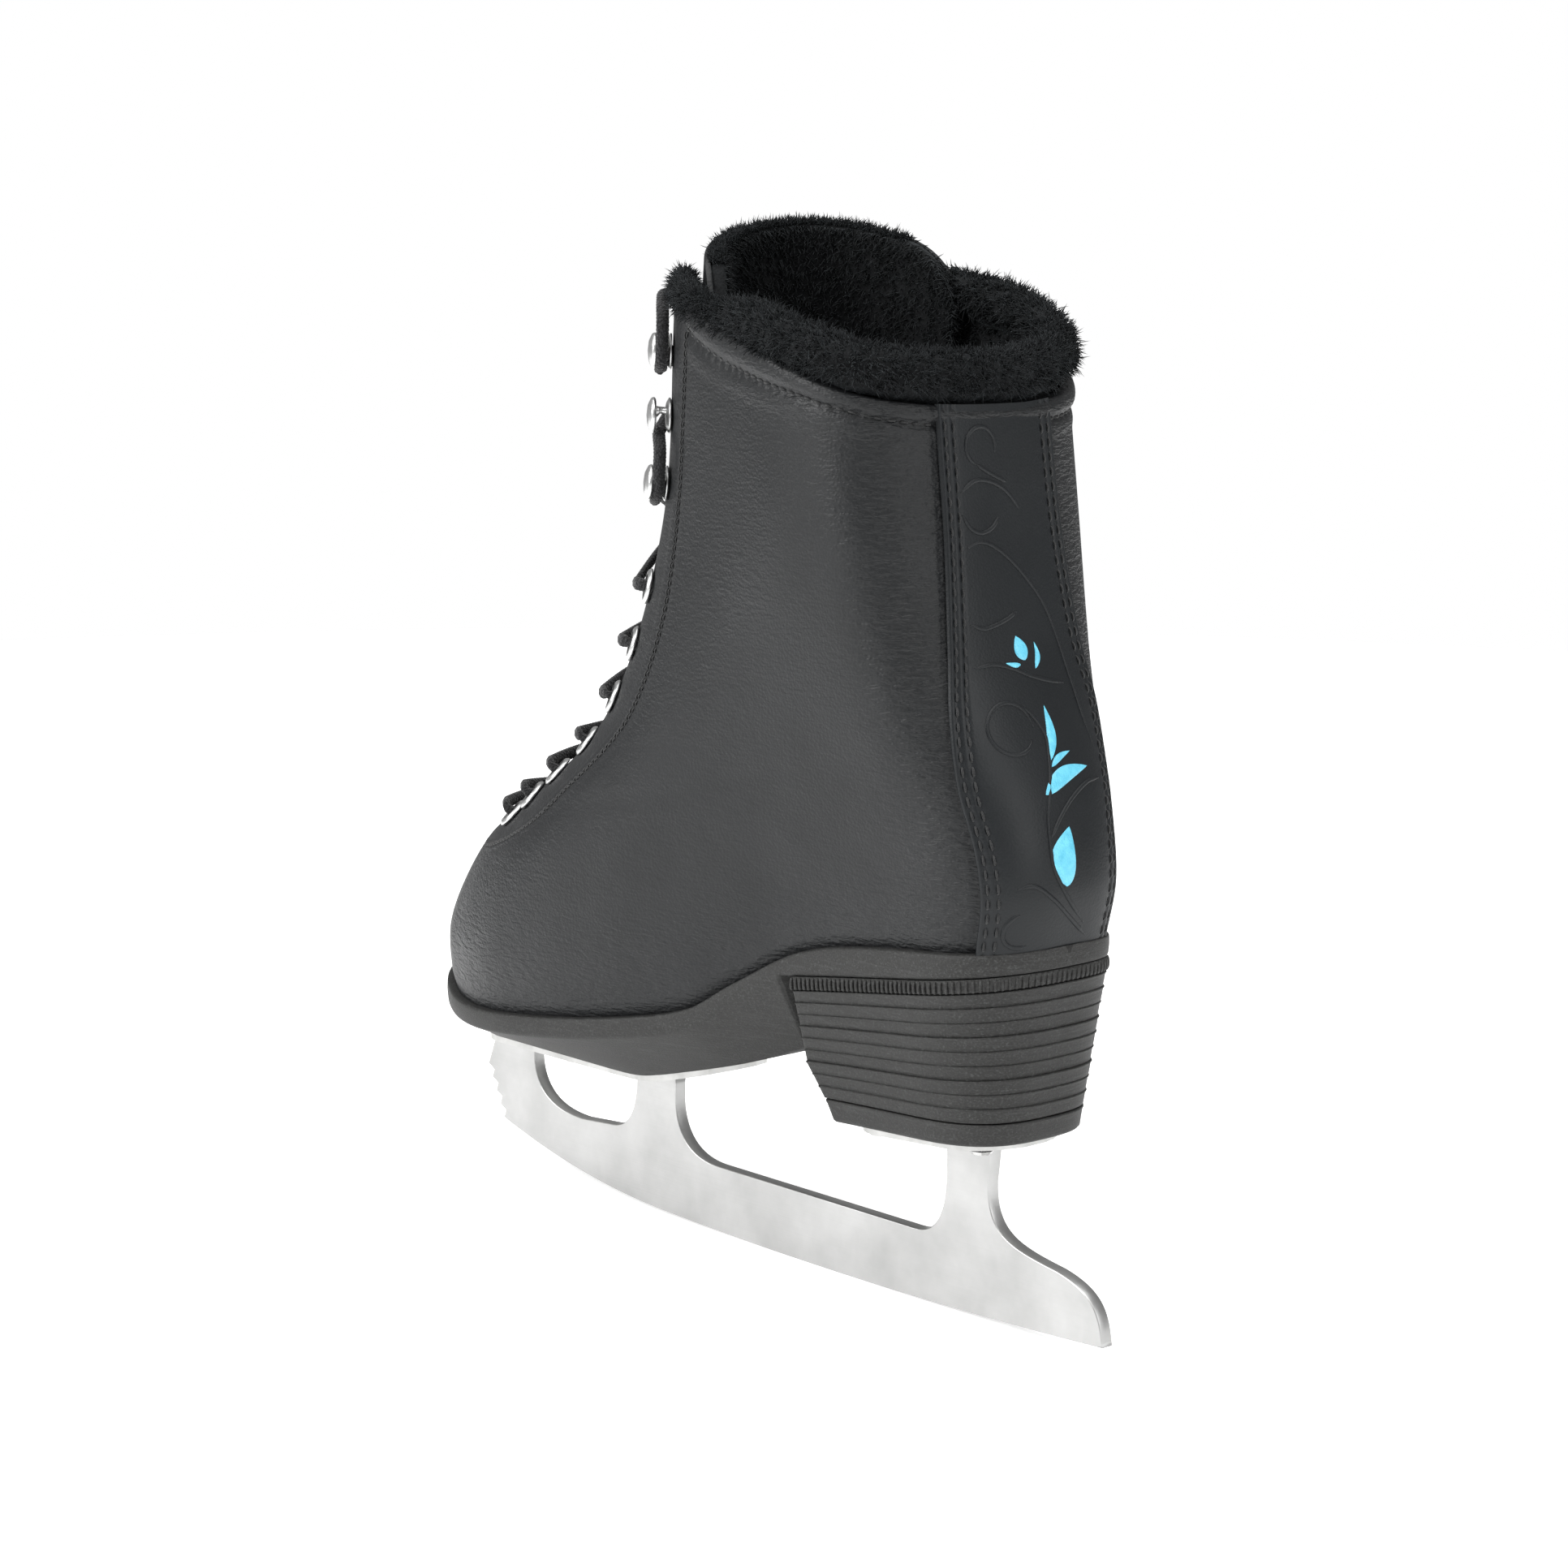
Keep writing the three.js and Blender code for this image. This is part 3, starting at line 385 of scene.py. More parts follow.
# ---- materials ----
class Look:
    """A procedural material around one Principled shader."""

    def __init__(self, name, **values):
        self.material = bpy.data.materials.new(name)
        self.material.use_nodes = True
        self.tree = self.material.node_tree
        self.tree.nodes.clear()
        self.shader = self.node("ShaderNodeBsdfPrincipled")
        output = self.node("ShaderNodeOutputMaterial")
        self.tree.links.new(self.shader.outputs["BSDF"], output.inputs["Surface"])
        for key, value in values.items():
            self.shader.inputs[key.replace("_", " ")].default_value = value
        self.place = self.node("ShaderNodeTexCoord").outputs["Object"]

    def node(self, kind, **settings):
        made = self.tree.nodes.new(kind)
        for key, value in settings.items():
            setattr(made, key, value)
        return made

    def link(self, source, target):
        self.tree.links.new(source, target)

    def scaled(self, scale, turn=(0, 0, 0)):
        made = self.node("ShaderNodeMapping")
        made.inputs["Scale"].default_value = scale
        made.inputs["Rotation"].default_value = turn
        self.link(self.place, made.inputs["Vector"])
        return made.outputs["Vector"]

    def noise(self, scale, detail=3.0, roughness=0.5, vector=None, distortion=0.0):
        made = self.node("ShaderNodeTexNoise")
        made.inputs["Scale"].default_value = scale
        made.inputs["Detail"].default_value = detail
        made.inputs["Roughness"].default_value = roughness
        made.inputs["Distortion"].default_value = distortion
        self.link(vector or self.place, made.inputs["Vector"])
        return made.outputs["Fac"]

    def cells(self, scale, vector=None, feature="F1", smooth=None, randomness=1.0):
        made = self.node("ShaderNodeTexVoronoi", feature=feature)
        made.inputs["Scale"].default_value = scale
        made.inputs["Randomness"].default_value = randomness
        if smooth is not None:
            made.inputs["Smoothness"].default_value = smooth
        self.link(vector or self.place, made.inputs["Vector"])
        return made.outputs["Distance"]

    def ramp(self, source, stops):
        made = self.node("ShaderNodeValToRGB")
        first, last = made.color_ramp.elements
        first.position, last.position = stops[0][0], stops[-1][0]
        for position, _ in stops[1:-1]:
            made.color_ramp.elements.new(position)
        for element, (_, color) in zip(made.color_ramp.elements, stops):
            element.color = (*color, 1) if isinstance(color, (tuple, list)) else (color, color, color, 1)
        self.link(source, made.inputs["Fac"])
        return made.outputs["Color"]

    def math(self, operation, a, b=None, clamp=False):
        made = self.node("ShaderNodeMath", operation=operation, use_clamp=clamp)
        for socket, value in zip(made.inputs, (a, b)):
            if value is None:
                continue
            if isinstance(value, (int, float)):
                socket.default_value = value
            else:
                self.link(value, socket)
        return made.outputs[0]

    def mix(self, factor, a, b):
        made = self.node("ShaderNodeMix", data_type="RGBA")
        for socket, value in zip((made.inputs[0], made.inputs[6], made.inputs[7]), (factor, a, b)):
            if isinstance(value, (int, float)):
                socket.default_value = value if socket == made.inputs[0] else (value, value, value, 1)
            elif isinstance(value, (tuple, list)):
                socket.default_value = (*value, 1)
            else:
                self.link(value, socket)
        return made.outputs[2]

    def attribute(self, name):
        return self.node("ShaderNodeAttribute", attribute_name=name).outputs["Fac"]

    def bumps(self, *layers):
        """Stacks bump layers, each (height, distance in metres, strength)."""
        last = None
        for height, distance, strength in layers:
            made = self.node("ShaderNodeBump")
            made.inputs["Distance"].default_value = distance
            if isinstance(strength, (int, float)):
                made.inputs["Strength"].default_value = strength
            else:
                self.link(strength, made.inputs["Strength"])
            self.link(height, made.inputs["Height"])
            if last is not None:
                self.link(last, made.inputs["Normal"])
            last = made.outputs["Normal"]
        self.link(last, self.shader.inputs["Normal"])

    def set(self, name, source):
        self.link(source, self.shader.inputs[name])
        return self


def leather_look():
    """Fine-grain leather, with a horizontal wrinkled grain where the crease attribute is high."""
    look = Look("leather", Specular_IOR_Level=0.30)
    drift = look.noise(38, 3)
    tone = look.ramp(drift, [(0.25, (0.0070, 0.0076, 0.0082)), (0.75, (0.0110, 0.0117, 0.0126))])
    grain = look.cells(1150)
    fine = look.noise(2300, 2)
    flat = look.scaled((0.26, 0.26, 1.0))
    wavy = look.noise(1000, 2.0, 0.5, vector=flat, distortion=0.5)
    crease = look.attribute("crease")
    wave = look.math("MULTIPLY", wavy, crease)
    # Paler on the raised grain ridges and darker in the grain's pits: a painted highlight and painted shade
    # that follow the grain bump.
    painted_ridge_highlight = look.ramp(grain, [(0.0, 0.0), (0.55, 1.0)])
    look.set("Base Color", look.mix(look.math("MULTIPLY", painted_ridge_highlight, 0.25), tone, (0.0155, 0.0165, 0.0176)))
    rough = look.ramp(look.noise(60, 4), [(0.2, 0.40), (0.8, 0.52)])
    look.set("Roughness", rough)
    look.bumps((grain, 0.00016, 0.55), (fine, 0.00006, 0.5), (wave, 0.0009, 0.8),
               (look.noise(160, 3), 0.0006, 0.25))
    return look.material


def strip_look():
    """Smooth leather with a faint pebble."""
    look = Look("strip_leather", Specular_IOR_Level=0.30)
    tone = look.ramp(look.noise(45, 3), [(0.25, (0.0058, 0.0072, 0.0084)), (0.75, (0.0092, 0.0108, 0.0122))])
    look.set("Base Color", tone)
    look.set("Roughness", look.ramp(look.noise(70, 3), [(0.2, 0.40), (0.8, 0.5)]))
    pebble = look.cells(1400)
    look.bumps((pebble, 0.00012, 0.35), (look.noise(2500, 2), 0.00005, 0.4))
    return look.material


def plush_look():
    """Short black pile, its tone varying in clumps."""
    look = Look("plush", Roughness=0.85, Specular_IOR_Level=0.2, Sheen_Weight=0.14, Sheen_Roughness=0.45)
    look.shader.inputs["Sheen Tint"].default_value = (0.55, 0.62, 0.66, 1)
    clumps = look.noise(420, 3)
    tone = look.ramp(clumps, [(0.3, (0.0022, 0.0025, 0.0028)), (0.7, (0.0080, 0.0088, 0.0095))])
    look.set("Base Color", tone)
    look.bumps((look.noise(1300, 3), 0.0006, 0.6))
    return look.material


def sole_look():
    """Stacked dark leather: mottled grey-brown with pale fibres."""
    look = Look("sole_leather", Specular_IOR_Level=0.35)
    spots = look.noise(1500, 4, 0.65, vector=look.scaled((1, 1, 1.35)))
    broad = look.noise(90, 4)
    fibres = look.noise(260, 3, 0.6, vector=look.scaled((0.25, 0.25, 6)))
    tone = look.ramp(spots, [(0.40, (0.0120, 0.0118, 0.0112)), (0.56, (0.0230, 0.0230, 0.0220)),
                             (0.68, (0.052, 0.054, 0.053))])
    streak = look.ramp(fibres, [(0.55, 0.0), (0.75, 0.55)])
    tone = look.mix(look.math("MULTIPLY", streak, broad), tone, (0.070, 0.072, 0.071))
    look.set("Base Color", tone)
    look.set("Roughness", look.ramp(spots, [(0.3, 0.48), (0.7, 0.66)]))
    look.bumps((spots, 0.00022, 0.7), (fibres, 0.0003, 0.4))
    return look.material


def steel_look():
    """Brushed stainless steel, a little cloudy."""
    look = Look("blade_steel", Metallic=1.0)
    brushed = look.noise(160, 4, 0.6, vector=look.scaled((1, 0.12, 14)))
    clouds = look.noise(42, 4, 0.6)
    tone = look.ramp(clouds, [(0.3, (0.40, 0.40, 0.395)), (0.72, (0.53, 0.53, 0.525))])
    look.set("Base Color", tone)
    mixed = look.math("ADD", look.math("MULTIPLY", brushed, 0.6), look.math("MULTIPLY", clouds, 0.4))
    rough = look.ramp(mixed, [(0.3, 0.34), (0.7, 0.46)])
    look.set("Roughness", rough)
    look.bumps((brushed, 0.00006, 0.5), (look.noise(30, 2), 0.0005, 0.12))
    return look.material


def plated_look(name, low, high, rough):
    """Plated metal, between two tones."""
    look = Look(name, Metallic=1.0)
    look.set("Base Color", look.ramp(look.noise(220, 3), [(0.3, low), (0.7, high)]))
    look.set("Roughness", look.ramp(look.noise(500, 3), [(0.3, rough), (0.7, rough + 0.08)]))
    look.bumps((look.noise(900, 2), 0.00003, 0.3))
    return look.material


def lace_look():
    """Braided cord: crossing rows of small cells, their crowns painted paler as a painted highlight and the
    grooves between them painted darker as painted shade.
    """
    look = Look("lace_braid", Roughness=0.8, Specular_IOR_Level=0.3, Sheen_Weight=0.2)
    braid = look.cells(1500, feature="SMOOTH_F1", smooth=0.3)
    # Painted highlight on the braid's raised crowns and painted shade in the grooves between them.
    look.set("Base Color", look.ramp(braid, [(0.1, (0.022, 0.022, 0.024)), (0.7, (0.005, 0.005, 0.0055))]))
    look.bumps((look.math("SUBTRACT", 1.0, braid), 0.0005, 0.8), (look.noise(5200, 2), 0.0001, 0.5))
    return look.material


def thread_look():
    """Twisted sewing thread."""
    look = Look("thread", Roughness=0.6, Specular_IOR_Level=0.4, Sheen_Weight=0.15)
    tone = look.ramp(look.noise(3000, 2), [(0.3, (0.004, 0.0042, 0.0045)), (0.7, (0.013, 0.0135, 0.014))])
    look.set("Base Color", tone)
    look.bumps((look.noise(6000, 1, vector=look.scaled((1, 1, 3))), 0.0001, 0.5))
    return look.material


def print_look():
    """Glossy turquoise print with fine grain, its tone varying at random."""
    look = Look("motif_print", Specular_IOR_Level=0.5, Coat_Weight=0.25, Coat_Roughness=0.25)
    tone = look.ramp(look.noise(420, 3), [(0.3, (0.095, 0.48, 0.66)), (0.7, (0.17, 0.62, 0.80))])
    grain = look.cells(1700)
    look.set("Base Color", tone)
    look.set("Roughness", look.ramp(look.noise(800, 2), [(0.3, 0.34), (0.7, 0.44)]))
    look.bumps((grain, 0.00015, 0.6), (look.noise(2400, 2), 0.00008, 0.5))
    return look.material


def plain_look(name, low, high, rough, scale=300, bump_height=0.0002):
    """A plain material between two tones, for pieces that are hardly seen."""
    look = Look(name, Specular_IOR_Level=0.4)
    look.set("Base Color", look.ramp(look.noise(scale, 3), [(0.3, low), (0.7, high)]))
    look.set("Roughness", look.ramp(look.noise(scale * 2, 2), [(0.3, rough), (0.7, min(rough + 0.1, 1))]))
    look.bumps((look.noise(scale * 4, 2), bump_height, 0.5))
    return look.material


LEATHER = leather_look()
STRIP = strip_look()
PLUSH = plush_look()
SOLE = sole_look()
STEEL = steel_look()
PLATE = plated_look("plate_steel", (0.42, 0.42, 0.41), (0.52, 0.52, 0.51), 0.35)
SCREWS = plated_look("screw_steel", (0.50, 0.50, 0.49), (0.62, 0.62, 0.61), 0.22)
NICKEL = plated_look("nickel", (0.56, 0.565, 0.56), (0.68, 0.68, 0.675), 0.3)
LACE = lace_look()
THREAD = thread_look()
PRINT = print_look()
BOARD = plain_look("board", (0.20, 0.15, 0.10), (0.30, 0.23, 0.16), 0.8)
STIFFENER = plain_look("stiffener", (0.09, 0.09, 0.085), (0.14, 0.14, 0.13), 0.6)
KNIT = plain_look("footbed", (0.006, 0.006, 0.007), (0.016, 0.016, 0.018), 0.85, 900, 0.0005)
TIP = plain_look("aglet", (0.012, 0.012, 0.013), (0.024, 0.024, 0.026), 0.2, 500)

# ---- the leather upper ----
STRIP_AT = [0, 0.12, 0.2, 0.3, 0.42, 0.6, 0.8, 1.0]
STRIP_LEFT = [26.2, 27.2, 28.0, 29.4, 27.6, 24.2, 21.2, 21.4]
STRIP_RIGHT = [18.0, 19.0, 20.0, 23.0, 26.2, 23.2, 20.8, 18.6]
ROW_INSETS = (2.0, 4.6)  # the two rows of stitches from the strip's edge
COLLAR_SEAM_AT = [0, 20, 35, 46, 60, 76, 95, 107, 116, 140]
COLLAR_SEAM_T = [0.968, 0.971, 0.975, 0.98, 0.983, 0.982, 0.984, 0.991, 0.997, 1.0]
BORDER_AT = [0, 20, 35, 45, 55, 66, 84, 103, 123, 150]
BORDER_T = [1.002, 1.003, 1.004, 1.006, 1.015, 1.02, 1.023, 1.028, 1.026, 1.024]
SEAM_AT = [0.235, 0.255, 0.283, 0.348, 0.417, 0.472, 0.548, 0.62, 0.71, 0.782, 0.83, 0.892, 0.945, 1.0]
SEAM_FROM_RIDGE = [0, 22, 40, 55, 60, 60, 58, 56, 52, 47, 44.5, 44, 45.5, 47]
SEAM_ROWS = (-0.9, 0.9)


RIGHT_LIFT_AT = [0, 10, 30, 48, 63, 78, 90, 110, 140, 165]
RIGHT_LIFT_BY = [0, 0, 2.0, 5.6, 8.0, 7.6, 6.6, 4.6, 2.4, 0]
MM_PER_STATION = 240


def right_lift(d):
    """The far side of the collar stands a little higher: how much, in mm."""
    return np.where(np.asarray(d) < 0, curve_through(RIGHT_LIFT_AT, RIGHT_LIFT_BY, np.abs(d)), 0.0)


def strip_edge(t, side):
    return curve_through(STRIP_AT, STRIP_LEFT if side > 0 else STRIP_RIGHT, t)


def border_t(d):
    return np.interp(np.abs(d), BORDER_AT, BORDER_T) + right_lift(d) / MM_PER_STATION


def collar_seam_t(d):
    return np.interp(np.abs(d), COLLAR_SEAM_AT, COLLAR_SEAM_T)


def seam_distance(t):
    return half_length(t) - curve_through(SEAM_AT, SEAM_FROM_RIDGE, t)


def line_noise(x, seed, scale, waves=5):
    """A smooth random curve of about unit height."""
    local = np.random.default_rng(seed)
    total = np.zeros_like(np.asarray(x, float))
    for k in range(waves):
        total += np.sin(x * scale * (1 + k * 0.83) + local.uniform(0, 7)) / (1 + k * 0.6)
    return total / 2


def upper_relief(t, d):
    """Height of the leather's face over the CAD surface, in mm."""
    a = np.abs(d)
    z = t * 210
    seam = seam_distance(t)
    to_seam = a - seam
    relief = -1.0 * step(-t, -0.03, 0.01)
    # padded collar above its seam, and the groove of the seam
    over = (t - collar_seam_t(d)) * 240
    in_quarter = step(-to_seam, 0.5, 2.5)
    top = (border_t(d) - collar_seam_t(d)) * 240
    relief += in_quarter * 1.5 * np.sin(np.pi * np.clip(over / np.maximum(top, 1), 0, 1)) ** 0.7
    relief -= in_quarter * 0.75 * bump(over, 2.0) * (0.75 + 0.25 * np.sin(d * 2 * np.pi / 3.4))
    relief += in_quarter * 0.35 * bump(over + 4, 4)
    # eyestay seam: a soft groove, with the leather puckered on both sides
    pucker = 0.5 + 0.5 * np.sin(z * 2 * np.pi / 2.4)
    valid = step(t, 0.25, 0.27)
    relief -= valid * 0.4 * bump(to_seam, 2.1) * (0.8 + 0.2 * pucker)
    relief += valid * 0.22 * bump(to_seam - 4, 3.5) + valid * 0.18 * bump(to_seam + 4, 3.5)
    # leather pressed in along the strip
    for side in (1, -1):
        gap = side * d - strip_edge(t, side)
        relief -= 0.35 * bump(gap - 0.4, 1.8) * (side * d > 0)
    # broad dents and flex folds
    relief += 0.25 * line_noise(d * 0.06 + z * 0.02, 3, 1.0) * step(t, 0.05, 0.2)
    fold = line_noise(z * 0.12 + 0.6 * np.sin(d * 0.03), 5, 1.0)
    relief += 0.16 * fold * bump(t - 0.42, 0.3) * bump((a - 120) / 90, 1)
    return relief


def crease_amount(t, d):
    """How strongly the grain wrinkles: most beside the back strip and under the collar."""
    a = np.abs(d)
    edge = np.where(d > 0, strip_edge(t, 1), strip_edge(t, -1))
    beside = 1 - step(a - edge, 4, 34)
    under_collar = bump(t - 0.975, 0.05) * (1 - step(a, 60, 110))
    low = 0.55 * bump(t - 0.06, 0.14)
    return np.clip(0.22 + 0.85 * beside + 0.6 * under_collar + low, 0, 1)


def upper():
    base = THROAT_BASE + np.array([0, 0.0004, 0.0012, 0.0025, 0.0045, 0.007, 0.01, 0.014, 0.018])
    rows = np.unique(np.concatenate([np.linspace(-0.012, 1, 232), base]))
    rows = np.array([r for r in rows if r in base or not THROAT_BASE - 0.0008 < r < THROAT_BASE + 0.018])
    extra = np.linspace(0, 1, 8)[1:]
    share = np.linspace(-1, 1, 561)
    points, crease = [], []
    stations = np.concatenate([rows, 1 + extra])
    for t in stations:
        reach = to_throat(min(t, 1.0), 0)
        d = share * reach
        tt = np.full_like(d, t) if t <= 1 else 1 + (border_t(d) - 1) * (t - 1)
        height = upper_relief(tt, d)
        if t > 1:
            height -= 1.6 * step(np.full_like(d, t - 1), 0.5, 1.0)
        points.append(raised(tt, d, height))
        crease.append(crease_amount(tt, d))
    outer = np.array(points)
    cols = len(share)
    # the throat's cut edge and the facing turned back behind it
    edge_steps = [(0.25, 0.12), (0.5, 0.45), (0.6, 1.2), (0.6, 2.2), (0.45, 3.0), (0.0, 3.4), (-6, 3.5),
                  (-14, 3.5), (-24, 3.5)]
    throat_rows = [i for i, t in enumerate(stations) if t >= THROAT_BASE]
    sheets = [outer.reshape(-1, 3)]
    creases = [np.array(crease).ravel()]
    faces = [grid_faces(len(stations), cols)]
    count = outer.shape[0] * cols
    for side in (1, -1):
        first = outer[throat_rows, -1 if side > 0 else 0]
        block = [first]
        for beyond, depth in edge_steps:
            ring = []
            for i in throat_rows:
                t = stations[i]
                edge = to_throat(min(t, 1.0), 0)
                gap = max(throat_half_gap(min(t, 1.0)), 0.0)
                d = side * (edge + min(beyond, gap))
                tt = t if t <= 1 else 1 + (float(border_t(d)) - 1) * (t - 1)
                ring.append(raised(tt, d, -depth - 0.35))
            block.append(np.array(ring))
        block = np.array(block).transpose(1, 0, 2)
        sheets.append(block.reshape(-1, 3))
        creases.append(np.full(block.shape[0] * block.shape[1], 0.1))
        faces.append(grid_faces(block.shape[0], block.shape[1], first=count))
        count += block.shape[0] * block.shape[1]
    obj = add_mesh("upper_leather", np.concatenate(sheets), faces, LEATHER, slot="boot_leather",
                   nodes=["upper_shell", "facing_left", "facing_right"],
                   floats={"crease": np.concatenate(creases)})
    weld(obj, 2e-6)


def stitch_rows(name, rows, length, gap, radius, sink=0.25, slot="boot_leather"):
    """Stitches along rows of points and normals: short cords that dip at both ends."""
    build = Builder()
    for path, outs in rows:
        run = np.concatenate([[0], np.cumsum(np.linalg.norm(np.diff(path, axis=0), axis=1))])
        at = lambda s: np.stack([np.interp(s, run, path[:, c]) for c in range(3)], axis=-1)
        out_at = lambda s: np.stack([np.interp(s, run, outs[:, c]) for c in range(3)], axis=-1)
        start = 0.4
        while start + length < run[-1]:
            s = start + np.linspace(0, length, 6)
            arch = np.sin(np.linspace(0, np.pi, 6)) ** 0.6
            outward = out_at(s)
            centre = at(s) + outward * (radius * 0.9 * arch - sink * (1 - arch))[:, None]
            build.sweep(centre, radius * (0.75 + 0.25 * arch), radius * 0.8, 5, outs=outward)
            start += length + gap
    build.piece(name, THREAD, slot=slot)


def seams():
    rows = []
    t = np.linspace(0.262, 0.996, 420)
    for side in (1, -1):
        for shift in SEAM_ROWS:
            d = side * (seam_distance(t) + shift)
            rows.append((raised(t, d, upper_relief(t, d) + 0.05), normal(t, d)))
    stitch_rows("eyestay_stitches", rows, 1.9, 0.5, 0.36)
    rows = []
    for side in (1, -1):
        stop = seam_distance(0.99) - 0.5
        d = side * np.linspace(float(strip_edge(1.0, side)) + 0.6, float(stop), 200)
        tt = collar_seam_t(d)
        rows.append((raised(tt, d, upper_relief(tt, d) + 0.1), normal(tt, d)))
    stitch_rows("collar_stitches", rows, 2.2, 1.2, 0.38)


# ---- the back strip ----
STRIP_THICK = 1.2
MOTIF_MARGIN = 5.2  # the scrolls stop this far from the strip's edge


def strip_height(t, d):
    """Height of the strip's face over the CAD surface: a slab with rounded edges."""
    side = np.where(d > 0, 1, -1)
    edge = np.where(d > 0, strip_edge(t, 1), strip_edge(t, -1))
    inset = edge - side * d
    height = 0.15 + (STRIP_THICK - 0.15) * np.sqrt(np.clip(1 - (1 - np.clip(inset / 0.6, 0, 1)) ** 2, 0, 1))
    height = height + 0.18 * bump(inset - 0.7, 0.8)
    for row in ROW_INSETS:
        height = height - 0.28 * bump(inset - row, 0.85)
    height = height + 0.1 * bump(inset - sum(ROW_INSETS) / 2, 0.9)
    return height


# The motif: scrolls as lines and leaves as outlines, given in mm up the strip from its foot and across
# from its middle, left positive.
STRIP_RUN_T = np.linspace(0, 1.02, 300)
STRIP_STEPS = np.linalg.norm(np.diff(surface(STRIP_RUN_T, 0), axis=0), axis=1)
STRIP_RUN = np.concatenate([[0], np.cumsum(STRIP_STEPS)])


def strip_station(up):
    return np.interp(up, STRIP_RUN, STRIP_RUN_T)


def spiral(up, across, radius, start, turn, shrink=1.0, points=40):
    """An arc about a centre, from an angle through a turn, its radius scaled by shrink at its end."""
    f = np.linspace(0, 1, points)
    a = np.radians(start + turn * f)
    r = radius * (1 + (shrink - 1) * f)
    return np.stack([up + r * np.sin(a), across + r * np.cos(a)], axis=1)


def flow(*knots):
    """A smooth line through knots given as (up, across)."""
    knots = np.asarray(knots, float)
    s = np.concatenate([[0], np.cumsum(np.linalg.norm(np.diff(knots, axis=0), axis=1))])
    return curve_through(s, knots, np.linspace(0, s[-1], 12 * len(knots)))


SCROLLS = [
    spiral(130.5, 8.3, 4.9, 200, -270),
    flow((125.9, 10.0), (123.8, 6.2), (121.0, 0.0)),
    flow((119.0, 15.6), (121.6, 11.6), (121.9, 8.0), (120.2, 2.6), (117.4, -1.2), (114.0, -4.0)),
    flow((113.4, 15.6), (109.8, 13.2), (108.5, 10.0), (109.6, 6.2), (112.4, 3.4)),
    flow((104.9, 15.0), (106.2, 10.8), (105.0, 6.5), (101.0, 0.8), (95.6, -4.4), (89.2, -9.0), (80.0, -12.2),
         (70.0, -14.0), (60.0, -15.2), (51.4, -16.5)),
    flow((85.6, 17.0), (84.2, 13.4), (84.6, 10.0), (86.0, 5.0), (87.8, 1.0)),
    flow((74.4, 18.0), (74.8, 12.0), (73.2, 6.0), (70.8, 0.4), (69.0, -5.6), (68.0, -11.0)),
    spiral(57.5, 11.5, 7.3, 180, -330, 0.9),
    flow((64.4, 9.4), (61.6, 4.4), (55.0, 1.0), (47.6, 2.4), (40.0, 5.0), (34.0, 7.2), (28.0, 8.0),
         (21.6, 7.6), (16.0, 5.0), (10.6, 0.6), (6.0, -4.0)),
    flow((42.0, -15.0), (41.4, -9.4), (38.0, -2.4), (33.4, 3.4), (28.6, 7.6)),
    flow((17.0, 18.0), (17.4, 13.6), (13.6, 8.0), (9.0, 2.6), (6.0, -1.0), (2.4, -5.4)),
    spiral(6.0, 15.8, 4.6, 75, -190),
]

# Each leaf: foot, tip, half width, and how far it bows to the left.
LEAVES = [
    ((75.0, 1.0), (81.5, 3.0), 2.3, 0.0),
    ((74.0, 3.0), (74.8, 8.0), 0.75, 0.4),
    ((72.5, -2.0), (79.5, -3.2), 0.85, -1.0),
    ((48.0, 2.0), (62.8, -1.5), 1.6, -1.6),
    ((46.5, 2.0), (50.0, -6.0), 0.9, 0.6),
    ((39.7, 6.5), (45.5, -11.0), 2.2, 1.6),
    ((16.2, 3.6), (31.0, 0.8), 4.2, 1.8),
]


def leaf_outline(foot, tip, half, bow, points=30):
    foot, tip = np.array(foot, float), np.array(tip, float)
    along = tip - foot
    across = np.array([-along[1], along[0]]) / np.linalg.norm(along)
    f = np.linspace(0, 1, points)
    middle = foot + along * f[:, None] + across * (bow * np.sin(np.pi * f))[:, None]
    width = half * np.sin(np.pi * f**0.8) ** 0.85
    return middle, across, width


def back_strip():
    rows = np.linspace(-0.006, 1, 330)
    extra = 1 + np.linspace(0, 1, 4)[1:]
    share = np.linspace(-1, 1, 111)
    points = []
    for t in np.concatenate([rows, extra]):
        ts = min(t, 1.0)
        left, right = float(strip_edge(ts, 1)), float(strip_edge(ts, -1))
        d = np.where(share > 0, share * left, share * right)
        tt = np.full_like(d, t) if t <= 1 else 1 + (border_t(d) - 1) * (t - 1)
        points.append(raised(tt, d, strip_height(tt, d)))
    add_mesh("back_strip_leather", np.array(points), [grid_faces(len(points), len(share))], STRIP,
             slot="strip_leather", nodes=["back_strip"])


def strip_stitches():
    rows = []
    t = np.linspace(0.004, 0.998, 500)
    for side in (1, -1):
        for inset in ROW_INSETS:
            d = side * (strip_edge(t, side) - inset)
            rows.append((raised(t, d, strip_height(t, d) + 0.12), normal(t, d)))
    stitch_rows("strip_stitches", rows, 2.5, 1.3, 0.36, slot="strip_leather")


def scroll_ridges():
    build = Builder()
    for line in SCROLLS:
        t = strip_station(line[:, 0])
        d = line[:, 1]
        keep = (d < strip_edge(t, 1) - MOTIF_MARGIN) & (d > -strip_edge(t, -1) + MOTIF_MARGIN)
        runs = np.split(np.arange(len(d)), np.where(np.diff(keep.astype(int)) != 0)[0] + 1)
        for run in runs:
            if not keep[run[0]] or len(run) < 4:
                continue
            tt, dd = t[run], d[run]
            f = np.linspace(0, 1, len(run))
            taper = np.clip(np.minimum(f, 1 - f) * 9, 0.25, 1) ** 0.6
            centre = raised(tt, dd, strip_height(tt, dd) - 0.05)
            build.sweep(centre, 0.62 * taper, 0.42 * taper, 8, outs=normal(tt, dd))
    build.piece("strip_scrolls", STRIP, slot="strip_leather")


